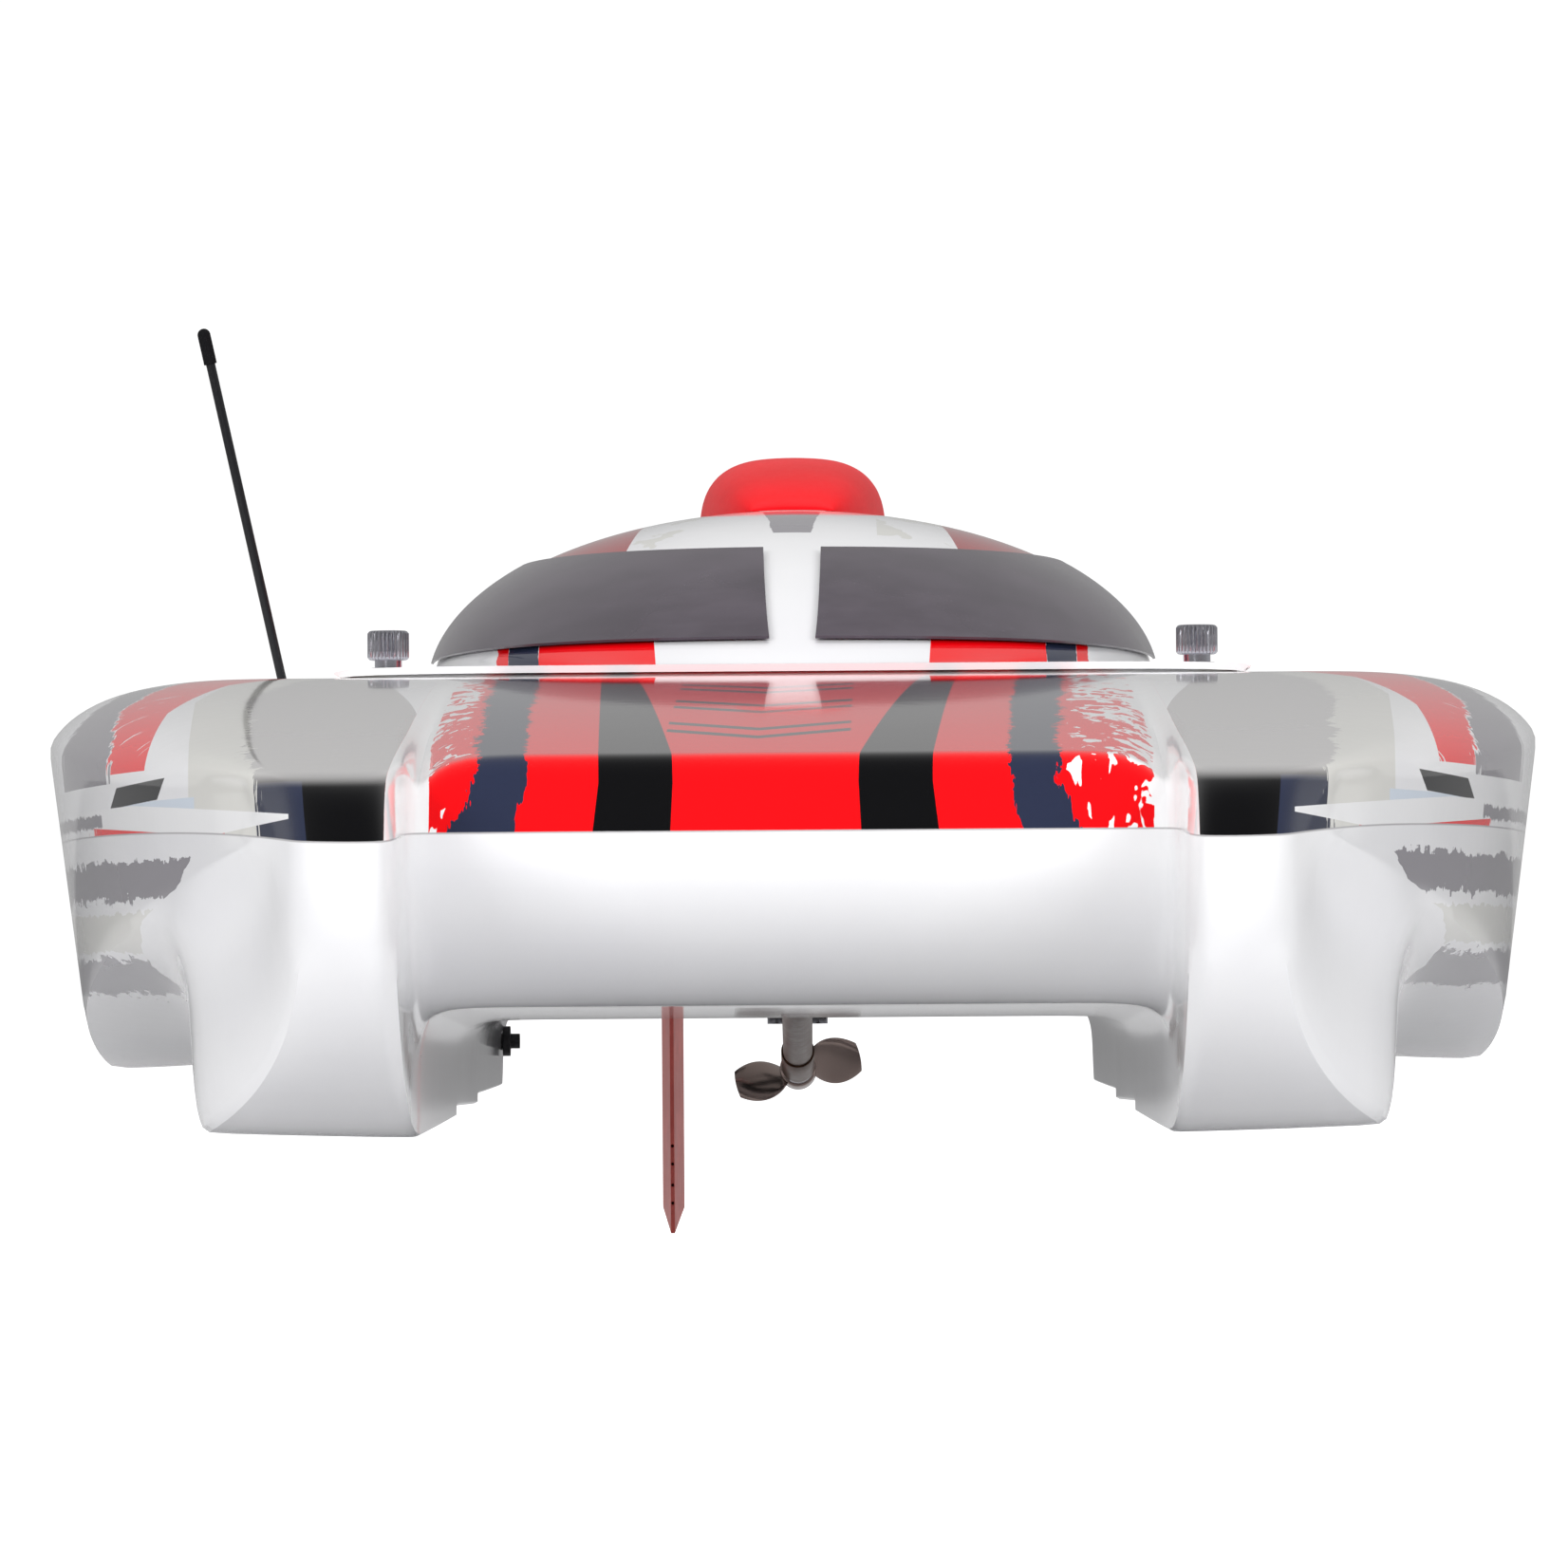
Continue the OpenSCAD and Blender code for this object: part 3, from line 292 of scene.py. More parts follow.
def grid_object(name, points, creases=(), corners=(), flip=False):
    """A sheet through rows of points in boat millimetres.

    creases: (row or None, column or None, first, last, weight); corners: (row, column) of the sharp ones.
    """
    pts = np.array(points, float)
    rows, cols = pts.shape[:2]
    faces = []
    for i in range(rows - 1):
        for k in range(cols - 1):
            a, d = i * cols + k, (i + 1) * cols + k
            quad = (a, a + 1, d + 1, d)
            faces.append(quad if flip else quad[::-1])
    obj = mesh_object(name, place(pts.reshape(-1, 3)), faces)
    weights = {}
    for row, col, lo, hi, w in creases:
        for t in range(lo, hi):
            a = row * cols + t if row is not None else t * cols + col
            weights[(a, a + (1 if row is not None else cols))] = w
    bm = bmesh.new()
    bm.from_mesh(obj.data)
    layer = bm.edges.layers.float.new("crease_edge")
    bm.verts.ensure_lookup_table()
    for (a, b), w in weights.items():
        e = bm.edges.get((bm.verts[a], bm.verts[b]))
        if e:
            e[layer] = w
    if corners:
        vl = bm.verts.layers.float.new("crease_vert")
        for row, col in corners:
            bm.verts[row * cols + col][vl] = 1.0
    bmesh.ops.remove_doubles(bm, verts=bm.verts, dist=1e-6)
    bmesh.ops.dissolve_degenerate(bm, dist=1e-6, edges=bm.edges)
    bm.to_mesh(obj.data)
    bm.free()
    return obj


def subdivide(obj, levels=2):
    m = obj.modifiers.new("surface", "SUBSURF")
    m.levels = m.render_levels = levels
    m.boundary_smooth = "ALL"
    return obj


def thicken(obj, mm, offset=-1):
    m = obj.modifiers.new("skin", "SOLIDIFY")
    m.thickness, m.offset, m.use_even_offset, m.use_quality_normals = mm * 0.001, offset, False, True
    return obj


def lathe(name, profile, steps=64, wobble=None):
    """A closed turned part: profile of (radius, height) in mm round the local z axis, from bottom to top."""
    verts, faces = [], []
    n = len(profile)
    for j in range(steps):
        a = 2 * math.pi * j / steps
        for r, z in profile:
            rr = r if wobble is None else wobble(r, z, a)
            verts.append((rr * math.cos(a) * 0.001, rr * math.sin(a) * 0.001, z * 0.001))
    for j in range(steps):
        k = (j + 1) % steps
        for i in range(n - 1):
            faces.append((j * n + i, k * n + i, k * n + i + 1, j * n + i + 1))
    if profile[0][0] > 0.01 and profile[0] != profile[-1]:
        faces.append([j * n for j in range(steps)][::-1])
        faces.append([j * n + n - 1 for j in range(steps)])
    obj = mesh_object(name, verts, faces)
    return tidy(obj, 1e-7)


def join(name, *objs):
    bm = bmesh.new()
    for o in objs:
        part = o.data.copy()
        part.transform(o.matrix_world)
        bm.from_mesh(part)
    mesh = bpy.data.meshes.new(name)
    bm.to_mesh(mesh)
    bm.free()
    for o in objs:
        bpy.data.objects.remove(o)
    return link(bpy.data.objects.new(name, mesh))


def set_pose(obj, matrix):
    obj.data.transform(matrix)
    return obj


def prism(name, outline, z0, z1):
    """A closed prism from an outline in boat millimetres (x, y)."""
    n = len(outline)
    verts = [place((x, y, z)) for z in (z0, z1) for x, y in outline]
    faces = [list(range(n))[::-1], list(range(n, 2 * n))]
    faces += [(i, (i + 1) % n, n + (i + 1) % n, n + i) for i in range(n)]
    return mesh_object(name, verts, faces)


def round_rect(x, y0, y1, r, steps=10):
    out = []
    for cx, cy, a0 in ((x - r, y1 - r, 0), (-x + r, y1 - r, 90), (-x + r, y0 + r, 180), (x - r, y0 + r, 270)):
        for i in range(steps + 1):
            a = math.radians(a0 + 90 * i / steps)
            out.append((cx + r * math.cos(a), cy + r * math.sin(a)))
    return out


def disc(x, y, r, steps=24):
    turns = [2 * math.pi * i / steps for i in range(steps)]
    return [(x + r * math.cos(a), y + r * math.sin(a)) for a in turns]


def cut(obj, *tools):
    """Subtract the tools, which are used up."""
    tool = join("tool", *tools) if len(tools) > 1 else tools[0]
    m = obj.modifiers.new("cut", "BOOLEAN")
    m.operation, m.solver, m.object, m.use_self = "DIFFERENCE", "EXACT", tool, False
    apply_all(obj)
    bpy.data.objects.remove(tool)
    return obj


def rod_between(name, p, q, r, steps=24):
    """A round cutter between two points in boat millimetres."""
    a, b = Vector(place(p)), Vector(place(q))
    obj = lathe(name, [(r, 0), (r, (b - a).length * 1000)], steps)
    return set_pose(obj, Matrix.Translation(a) @ (b - a).to_track_quat("Z", "Y").to_matrix().to_4x4())


# ---- materials -----------------------------------------------------------------------------------------
def linear(v):
    v /= 255
    return v / 12.92 if v <= 0.04045 else ((v + 0.055) / 1.055) ** 2.4


def srgb(*c):
    return tuple(linear(v) for v in c) + (1.0,)


class Signal:
    """A node socket that arithmetic turns into Math nodes. Masks: & is both, | is either, ~ is not."""

    def __init__(self, mat, socket):
        self.mat, self.socket = mat, socket

    def __add__(self, o):
        return self.mat.op("ADD", self, o)

    __radd__ = __add__

    def __sub__(self, o):
        return self.mat.op("SUBTRACT", self, o)

    def __rsub__(self, o):
        return self.mat.op("SUBTRACT", o, self)

    def __mul__(self, o):
        return self.mat.op("MULTIPLY", self, o)

    __rmul__ = __mul__

    def __truediv__(self, o):
        return self.mat.op("DIVIDE", self, o)

    def __and__(self, o):
        return self.mat.op("MULTIPLY", self, o)

    def __or__(self, o):
        return self.mat.op("MAXIMUM", self, o)

    def __invert__(self):
        return self.mat.op("SUBTRACT", 1.0, self)

    def __gt__(self, o):
        return self.mat.edge(self, o)

    def __lt__(self, o):
        return ~self.mat.edge(self, o)

    def abs(self):
        return self.mat.op("ABSOLUTE", self)


class Mat:
    def __init__(self, name, **fixed):
        self.m = bpy.data.materials.new(name)
        self.m.use_nodes = True
        self.tree = self.m.node_tree
        self.shader = self.tree.nodes["Principled BSDF"]
        for key, value in fixed.items():
            self.shader.inputs[key.replace("_", " ")].default_value = value
        coord = self.tree.nodes.new("ShaderNodeTexCoord").outputs["Object"]
        scale = self.tree.nodes.new("ShaderNodeVectorMath")
        scale.operation = "MULTIPLY_ADD"
        self.tree.links.new(coord, scale.inputs[0])
        scale.inputs[1].default_value = (1000, 1000, 1000)
        scale.inputs[2].default_value = tuple(-ORIGIN * 1000)
        self.P = scale.outputs[0]
        sep = self.tree.nodes.new("ShaderNodeSeparateXYZ")
        self.tree.links.new(self.P, sep.inputs[0])
        self.x, self.y, self.z = (Signal(self, s) for s in sep.outputs)

    def put(self, socket, value):
        if isinstance(value, Signal):
            value = value.socket
        if isinstance(value, bpy.types.NodeSocket):
            self.tree.links.new(value, socket)
        else:
            socket.default_value = value

    def op(self, kind, a, b=None, c=None, clamped=False):
        node = self.tree.nodes.new("ShaderNodeMath")
        node.operation, node.use_clamp = kind, clamped
        for s, v in zip(node.inputs, (a, b, c)):
            if v is not None:
                self.put(s, v)
        return Signal(self, node.outputs[0])

    def edge(self, a, b, soft=0.12):
        """1 where a is above b, crossing over soft millimetres."""
        diff = a - b if not (isinstance(b, (int, float)) and b == 0) else a
        return self.op("MULTIPLY_ADD", diff, 1 / soft, 0.5, clamped=True)

    def soft(self, a, lo, hi):
        node = self.tree.nodes.new("ShaderNodeMapRange")
        node.interpolation_type = "SMOOTHSTEP"
        self.put(node.inputs["Value"], a)
        self.put(node.inputs["From Min"], lo)
        self.put(node.inputs["From Max"], hi)
        return Signal(self, node.outputs[0])

    def line(self, a, *pts):
        """The piecewise straight function through (a, value) points."""
        total = None
        for (a0, v0), (a1, v1) in zip(pts, pts[1:]):
            node = self.tree.nodes.new("ShaderNodeMapRange")
            self.put(node.inputs["Value"], a)
            base = v0 if total is None else 0
            for key, v in (("From Min", a0), ("From Max", a1), ("To Min", base), ("To Max", v1 - v0 + base)):
                node.inputs[key].default_value = v
            part = Signal(self, node.outputs[0])
            total = part if total is None else total + part
        return total

    def between(self, a, lo, hi, soft=0.12):
        return self.edge(a, lo, soft) & ~self.edge(a, hi, soft)

    def noise(self, scale, detail=2.0, rough=0.5, shift=0.0, distort=0.0, centred=True):
        """Noise with features of about scale millimetres, for all axes or each one; -1 to 1 if centred."""
        scale = scale if isinstance(scale, tuple) else (scale,) * 3
        mul = self.tree.nodes.new("ShaderNodeVectorMath")
        mul.operation = "MULTIPLY_ADD"
        self.put(mul.inputs[0], self.P)
        mul.inputs[1].default_value = tuple(1 / s for s in scale)
        mul.inputs[2].default_value = (shift, shift * 1.7, shift * 0.6)
        node = self.tree.nodes.new("ShaderNodeTexNoise")
        self.put(node.inputs["Vector"], mul.outputs[0])
        node.inputs["Scale"].default_value = 1.0
        node.inputs["Detail"].default_value = detail
        node.inputs["Roughness"].default_value = rough
        node.inputs["Distortion"].default_value = distort
        out = Signal(self, node.outputs[0])
        return self.op("MULTIPLY_ADD", out, 2.0, -1.0) if centred else out

    def mix(self, f, a, b):
        node = self.tree.nodes.new("ShaderNodeMix")
        node.data_type = "RGBA"
        self.put(node.inputs[0], f)
        self.put(node.inputs[6], a)
        self.put(node.inputs[7], b)
        return node.outputs[2]

    def paint(self, base, *layers):
        """base colour, then (mask, colour) layers over it."""
        out = base
        for mask, colour in layers:
            out = self.mix(mask, out, colour)
        return out

    def finish(self, colour=None, rough=None, bump=None, strength=0.2, distance=0.1, **links):
        if colour is not None:
            self.put(self.shader.inputs["Base Color"], colour)
        if rough is not None:
            self.put(self.shader.inputs["Roughness"], rough)
        if bump is not None:
            node = self.tree.nodes.new("ShaderNodeBump")
            node.inputs["Strength"].default_value = strength
            node.inputs["Distance"].default_value = distance * 0.001
            self.put(node.inputs["Height"], bump)
            self.put(self.shader.inputs["Normal"], node.outputs[0])
        for key, value in links.items():
            self.put(self.shader.inputs[key.replace("_", " ")], value)
        return self.m


WHITE = srgb(243, 243, 244)
CREAM = srgb(222, 221, 216)
RED = srgb(240, 6, 16)
DARK_RED = srgb(160, 14, 26)
# light grey for the painted reflection on top of the black sponson decks
SHEEN_GREY = srgb(194, 192, 191)
BLACK = srgb(6, 6, 8)
SLATE = srgb(40, 46, 68)
ICE = srgb(214, 224, 236)
GREY = srgb(140, 137, 143)


def seam_shade_line(m):
    """A fine dark line where deck and hull meet: painted shade standing in for the shadow line at the seam.
    """
    rim = 68.0 - 5.0 * m.op("EXPONENT", m.y * (-1 / 70))
    return m.op("SUBTRACT", 1.0, m.soft((m.z - rim).abs(), 0.08, 0.3))


def gloss(m):
    """Polished gelcoat: a trace of orange peel, faint dust and haze in the shine."""
    haze = m.noise(60, 3, 0.6, 3.1, centred=False)
    scuff = m.noise((3, 40, 3), 4, 0.7, 7.7, centred=False)
    rough = m.op("MULTIPLY_ADD", haze, 0.05, 0.035) + m.soft(scuff, 0.62, 0.8) * 0.05
    peel = m.noise(5.5, 2, 0.5, 1.3)
    return rough, peel


def hull_paint():
    m = Mat("hull_gelcoat", IOR=1.45)
    x, y, z = m.x, m.y, m.z
    ax = x.abs()
    rag = m.noise((26, 26, 2.4), 4, 0.62, 2.0) * 3.0 + m.noise((3.2, 9, 12), 3, 0.7, 5.0) * 3.6
    start = m.line(z, (25, 236), (36, 196), (48, 150), (55, 104), (63, 84))
    start = start + m.noise((40, 40, 3), 2, 0.5, 9.0) * 6
    outer = m.edge(ax, 118.0) & m.edge(y, start)
    end_a = 640 + m.noise((80, 80, 2.2), 3, 0.6, 11.0) * 90
    stripe_a = m.between(z, 52.8 + rag, 61.5 + rag * 0.7) & (y < end_a)
    cream = m.between(z, 41.5 + rag * 0.5, 50 + rag * 0.5) & (y < end_a - 60)
    stripe_b = m.between(z, 31.8 + rag * 0.8, 40 + rag) & (y < end_a - 110)
    # grey and red strokes again near the stern
    stern = m.edge(y, 905 + m.noise((60, 60, 2.4), 3, 0.6, 4.0) * 60 + (z - 50) * 2.2) & m.edge(ax, 118.0)
    tail_a = stern & m.between(z, 44 + rag, 60 + rag * 0.6)
    tail_b = stern & m.between(z, 31 + rag * 0.7, 36.5 + rag * 0.7)
    shade = m.noise((120, 200, 60), 3, 0.55, 1.0, centred=False)
    white = m.mix(m.soft(shade, 0.3, 0.75), WHITE, srgb(236, 236, 239))
    colour = m.paint(
        white, (outer & cream, CREAM), (outer & (stripe_a | stripe_b), GREY), (tail_a, GREY), (tail_b, RED),
        # painted shade along the seam between deck and hull
        (seam_shade_line(m), srgb(190, 188, 190)),
    )
    rough, peel = gloss(m)
    return m.finish(colour, rough, peel, 0.12, 0.05)


def deck_livery():
    m = Mat("deck_livery", IOR=1.42)
    x, y, z = m.x, m.y, m.z
    ax = x.abs()
    low = m.op("MAXIMUM", 76.0 - z, 0.0) * m.op("LESS_THAN", y, 56.0)
    # centre: black and slate stripes on red, running aft from the wing's leading edge
    cy = m.line(y, (50, -5.5), (372, -2.5))
    c = (x - cy).abs()
    rag_in = m.noise((7, 22, 40), 3, 0.6, 3.0) * 2.0 + m.noise((2.0, 3.0, 12), 3, 0.7, 6.0) * 2.6
    rag_out = m.noise((7, 18, 40), 3, 0.6, 13.0) * 2.6 + m.noise((2.0, 3.0, 12), 3, 0.7, 16.0) * 4.0
    black_in = m.line(y, (52, 19.6), (350, 36.2)) + low * 0.05
    black_out = m.line(y, (52, 35.3), (350, 43.4)) + low * 0.12
    black = m.between(c, black_in, black_out)
    slate_in = m.line(y, (52, 51), (372, 58)) + rag_in + low * 0.28
    slate_out = m.line(y, (52, 61.5), (372, 69)) + rag_out + low * 0.5
    slate = m.between(c, slate_in, slate_out)
    fleck = m.noise((4.2, 9, 9), 2.5, 0.55, 21.0, 0.6, centred=False)
    out = (c - m.line(y, (52, 61.5), (372, 69))) / 16
    white_out = m.edge(fleck, 0.66 - 0.14 * out - 0.17 * m.soft(y, 60, 330), 0.012)
    white_out = white_out & (c > m.line(y, (52, 63.5), (372, 71)) + rag_out)
    corner_x = m.line(y, (50, 76.5), (120, 78.5), (372, 79)) + m.noise((3, 14, 30), 2, 0.5, 8.0) * 0.6
    corner = m.edge(ax, corner_x)
    # plain chevrons down the middle, where the real one carries lettering
    xm = (x - cy + 2.2).abs()
    tip = y - xm * 0.9
    bars = m.between(tip, 92, 99)
    for start in (112, 160, 180, 228, 248):
        bars = bars | m.between(tip, start, start + 7)
    bars = bars & (xm < 20)
    centre = ax < 84
    crest_end = y < 392
    red_zone = centre & crest_end
    # sponson decks
    rag_s = m.noise((9, 26, 60), 4, 0.62, 31.0) * 4.5 + m.noise((4, 2.6, 20), 3, 0.7, 36.0) * 4.4
    edge_b = m.line(y, (10, 110), (60, 115), (120, 118.5), (220, 123.5), (300, 119), (372, 104))
    inner = m.edge(ax, 81.5 + m.soft(y, 120, 330) * 15) & (ax < edge_b + rag_s) & (y < 366 + rag_s * 3)
    slate_s = inner & m.edge(ax, 100.5 + (z - 69) * 0.1) & m.edge(76.0, z)
    # the top of the black sponson deck, blending up from the front band, gets a painted reflection: light
    # grey standing in for the white surroundings seen at a grazing angle
    panel = inner & m.edge(m.soft(z, 74.5, 78.5), 0.5, 1.0)
    tongue_top = m.line(ax, (104, 69.2), (146, 73.6))
    tongue_low = m.line(ax, (104, 68.2), (124, 65.6), (159, 69.6))
    notch = m.edge(tongue_top, z) & m.edge(z, tongue_low) & m.edge(ax, 104.0) & (y < 230)
    cream = m.between(ax, edge_b + rag_s * 0.4 - 4, edge_b + 13) & (y < 420)
    arc_in = m.line(y, (30, 133.5), (60, 137.5), (120, 142), (200, 141.5), (290, 133), (380, 112))
    arc_out = m.line(y, (30, 134.5), (80, 144.5), (160, 152.5), (250, 155), (330, 147), (400, 128))
    rag_a = m.noise((6, 30, 60), 4, 0.65, 41.0) * 2.2 + m.noise((3, 4, 30), 3, 0.7, 46.0) * 2.6
    arc = m.between(ax, arc_in, arc_out + rag_a)
    scratch = m.edge(m.noise((14, 3.2, 20), 3, 0.6, 51.0, centred=False), 0.67, 0.015) & m.edge(y, 90)
    arc = arc & ~scratch & (y < 398) & (z > m.line(y, (40, 72), (110, 81)))
    brush_out = m.line(y, (30, 146), (60, 150), (120, 161), (200, 170), (260, 170), (330, 160), (400, 148))
    rag_g = m.noise((11, 9, 40), 4, 0.65, 61.0) * 4.5 + m.noise((6, 2.8, 24), 3, 0.7, 66.0) * 4.6
    brush = m.between(ax, arc_out + rag_a + 0.5, brush_out + rag_g) & (y < 330 + rag_g * 6) & (z > 79)
    block = m.between(ax + (z - 76) * 0.5, 137.5, 151.5) & (y < 230)
    block = block & m.between(z + (ax - 138) * 0.07, 74.4, 78.8)
    ice = m.between(z, 69.5, 74.2) & m.between(ax, 128, 149) & (y < 230)
    wedge = m.edge(tongue_low, z) & m.edge(ax, 120.0) & (y < 205 + rag_g * 8)
    lick = m.between(z, 69.6 + rag_g * 0.3, 72.4 + rag_g * 0.3)
    lick = lick & m.between(y, 190, 700 + rag_g * 20) & m.edge(ax, 150)
    # after body: brush strokes swept out to the stern quarters
    q = y + ax * 0.9
    tail_k = m.between(q, 1085 + rag_s * 5, 1130 + rag_s * 5)
    tail_r = m.between(q, 1137 + rag_s * 4, 1180 + rag_s * 6)
    tail_c = m.between(q, 1186 + rag_s * 4, 1206 + rag_s * 4)
    shade = m.noise((90, 160, 60), 3, 0.55, 1.0, centred=False)
    white = m.mix(m.soft(shade, 0.3, 0.75), WHITE, srgb(236, 236, 239))
    colour = m.paint(
        white,
        # panel here is the painted reflection on the black sponson tops
        (cream, CREAM), (arc, RED), (brush, GREY), (inner, BLACK), (slate_s, SLATE), (panel, SHEEN_GREY),
        (ice, ICE), (block, BLACK), (notch, WHITE), (wedge, RED), (lick, GREY),
        (tail_c, CREAM), (tail_k, BLACK), (tail_r, RED),
        (red_zone, RED), (red_zone & bars, srgb(60, 58, 62)),
        (red_zone & black, BLACK), (red_zone & slate, SLATE),
        (red_zone & white_out, WHITE), (corner & (ax < 84) & ~(m.edge(y, 400)), WHITE),
        # painted shade along the seam between deck and hull
        (seam_shade_line(m), srgb(180, 178, 180)),
    )
    rough, peel = gloss(m)
    return m.finish(colour, rough, peel, 0.12, 0.05)


def canopy_livery():
    m = Mat("canopy_livery", IOR=1.42)
    x, y, z = m.x, m.y, m.z
    ax = x.abs()
    rag = m.noise((5, 14, 4), 3, 0.6, 3.0) * 1.2
    foot = z < 121.5
    red_f = m.between(ax, 34 + (z - 114) * 0.1, 63.5) | m.between(ax, 71.5, 74.5 + rag)
    slate_f = m.between(ax, 63.5 + rag * 0.5, 71.5 + rag * 0.5)
    front = foot & (z > 112.2) & (y < 560)
    panel = m.edge(ax, 45.0 - (z - 138) * 0.22 - (y - 480) * 0.03) & m.edge(z, 128.5) & (y < 640)
    smudge = m.between(m.noise((14, 30, 14), 3, 0.6, 12.0, centred=False), 0.56, 0.7, 0.02)
    smudge = smudge & m.between(ax, 22, 42) & m.between(y, 470, 600)
    mark = m.edge(6.0 - ax + (y - 520) * 0.05 + rag * 0.7, 0.0, 0.3) & m.between(y, 500, 552)
    spine = m.between(ax, 20 + (y - 700) * 0.02, 34 + rag) & m.between(y, 716, 900)
    spine_k = m.between(ax, 40, 47 + rag) & m.between(y, 716, 900)
    shade = m.noise((90, 160, 60), 3, 0.55, 1.0, centred=False)
    white = m.mix(m.soft(shade, 0.3, 0.75), WHITE, srgb(236, 236, 239))
    colour = m.paint(
        white, (smudge, CREAM), (panel, DARK_RED), (front & red_f, RED), (front & slate_f, SLATE),
        (mark, GREY),
        (spine & (z > 118), RED), (spine_k & (z > 118), BLACK),
    )
    rough, peel = gloss(m)
    return m.finish(colour, rough, peel, 0.12, 0.05)


def tinted(colour, times, add=0.0):
    return tuple(min(1, c * times + add) for c in colour[:3]) + (1,)


def plain(
    name, colour, rough=0.4, grain=3.0, spread=0.1, metal=0.0, bump=0.1, depth=0.05, streak=None, **fixed
):
    """A surface with fine mottling in colour, gloss and relief. streak stretches the grain along an axis."""
    m = Mat(name, Metallic=metal, **fixed)
    size = streak or (grain,) * 3
    a = m.noise(size, 4, 0.6, 2.0, centred=False)
    b = m.noise(tuple(s * 6 for s in size), 3, 0.55, 8.0, centred=False)
    dark, light = tinted(colour, 1 - spread), tinted(colour, 1 + spread)
    col = m.mix(m.op("MULTIPLY", a, 0.5) + m.op("MULTIPLY", b, 0.5), dark, light)
    r = m.op("MULTIPLY_ADD", a, rough * 0.5, rough * 0.5) + b * (rough * 0.35)
    return m.finish(col, r, a, bump, depth)


def screen():
    m = Mat("tinted_screen", IOR=1.35)
    smear = m.noise((30, 30, 18), 3, 0.6, 5.0, centred=False)
    dust = m.noise(0.9, 2, 0.6, 9.0, centred=False)
    col = m.mix(m.soft(smear, 0.25, 0.8), srgb(66, 59, 68), srgb(84, 76, 86))
    col = m.mix(m.soft(dust, 0.66, 0.8) * 0.25, col, srgb(120, 116, 122))
    return m.finish(col, m.op("MULTIPLY_ADD", smear, 0.12, 0.1), m.noise(9, 2, 0.5, 1.0), 0.08, 0.05)


def scoop_paint():
    m = Mat("scoop_paint", IOR=1.38)
    mist = m.noise(1.4, 2, 0.6, 3.0, centred=False)
    cloud = m.noise(26, 3, 0.55, 4.0, centred=False)
    col = m.mix(m.soft(cloud, 0.25, 0.8), srgb(228, 4, 16), srgb(240, 12, 26))
    return m.finish(col, m.op("MULTIPLY_ADD", mist, 0.1, 0.42), mist, 0.08, 0.04)


def anodised(name, colour):
    """Clear or dyed aluminium plate, a little rubbed."""
    m = Mat(name, Metallic=0.55)
    grain = m.noise((0.5, 9, 9), 4, 0.65, 2.0, centred=False)
    rub = m.noise(14, 4, 0.6, 6.0, centred=False)
    col = m.mix(m.soft(rub, 0.45, 0.8) * 0.5, colour, tinted(colour, 1.5, 0.04))
    return m.finish(col, m.op("MULTIPLY_ADD", grain, 0.2, 0.26), grain, 0.12, 0.04)


def wrap():
    """Printed shrink wrap on a cell stack: plain bands, no print."""
    m = Mat("battery_wrap", Coat_Weight=0.3, Coat_Roughness=0.12)
    wrinkle = m.noise((30, 8, 12), 4, 0.6, 2.0)
    band = m.between((m.y - 508).abs(), 58, 66) | (m.z > 64)
    col = m.mix(band, srgb(28, 74, 128), srgb(214, 218, 222))
    cell = m.edge((m.noise((200, 200, 9), 1, 0.4, 1.0)).abs(), 0.03, 0.05)
    col = m.mix(~cell, col, srgb(16, 44, 84))
    return m.finish(col, m.op("MULTIPLY_ADD", wrinkle, 0.06, 0.3), wrinkle, 0.4, 0.4)


MATS = {
    "hull": hull_paint(),
    "deck": deck_livery(),
    "canopy": canopy_livery(),
    "screen": screen(),
    "scoop": scoop_paint(),
    "inner": plain("bare_laminate", srgb(206, 204, 192), 0.5, 2.2, 0.08, bump=0.35, depth=0.15),
    "rubber": plain("black_rubber", srgb(22, 22, 24), 0.8, 0.8, 0.2, bump=0.25, Specular_IOR_Level=0.15),
    "seal": plain("foam_seal", srgb(206, 205, 204), 0.8, 0.8, 0.08, bump=0.25, depth=0.05),
    "plastic": plain("black_plastic", srgb(26, 26, 29), 0.42, 0.6, 0.2, bump=0.2, depth=0.04),
    "box": plain("grey_plastic", srgb(196, 198, 202), 0.4, 0.8, 0.06, bump=0.15, depth=0.04),
    "foam": plain("foam_block", srgb(238, 232, 204), 0.85, 1.6, 0.12, bump=0.6, depth=0.4),
    "ply": plain("birch_ply", srgb(206, 172, 122), 0.6, 2.0, 0.22, streak=(14, 2, 0.9), bump=0.3, depth=0.1),
    "steel": plain("turned_steel", srgb(196, 196, 200), 0.3, 0.5, 0.12, metal=1.0, streak=(9, 0.35, 9)),
    "chrome": plain("bright_steel", srgb(206, 206, 214), 0.24, 1.6, 0.1, metal=1.0, bump=0.06),
    "screwsteel": plain("screw_steel", srgb(150, 150, 156), 0.32, 0.6, 0.2, metal=1.0),
    "alloy": anodised("milled_alloy", srgb(186, 188, 192)),
    "blue": anodised("blue_alloy", srgb(38, 92, 164)),
    "dark": anodised("dark_alloy", srgb(46, 52, 56)),
    "red": anodised("red_alloy", srgb(206, 96, 88)),
    "bronze": plain("cast_bronze", srgb(84, 60, 46), 0.4, 1.8, 0.16, metal=0.85, bump=0.12, depth=0.06),
    "brass": plain("brass", srgb(206, 170, 92), 0.28, 0.9, 0.12, metal=1.0),
    "hose": plain("silicone_hose", srgb(120, 170, 206), 0.3, 3.0, 0.08, bump=0.08, Coat_Weight=0.3),
    "wrap": wrap(),
    "prop": plain("propeller_alloy", srgb(150, 134, 128), 0.22, 3.0, 0.08, metal=1.0, bump=0.05, depth=0.03),
}


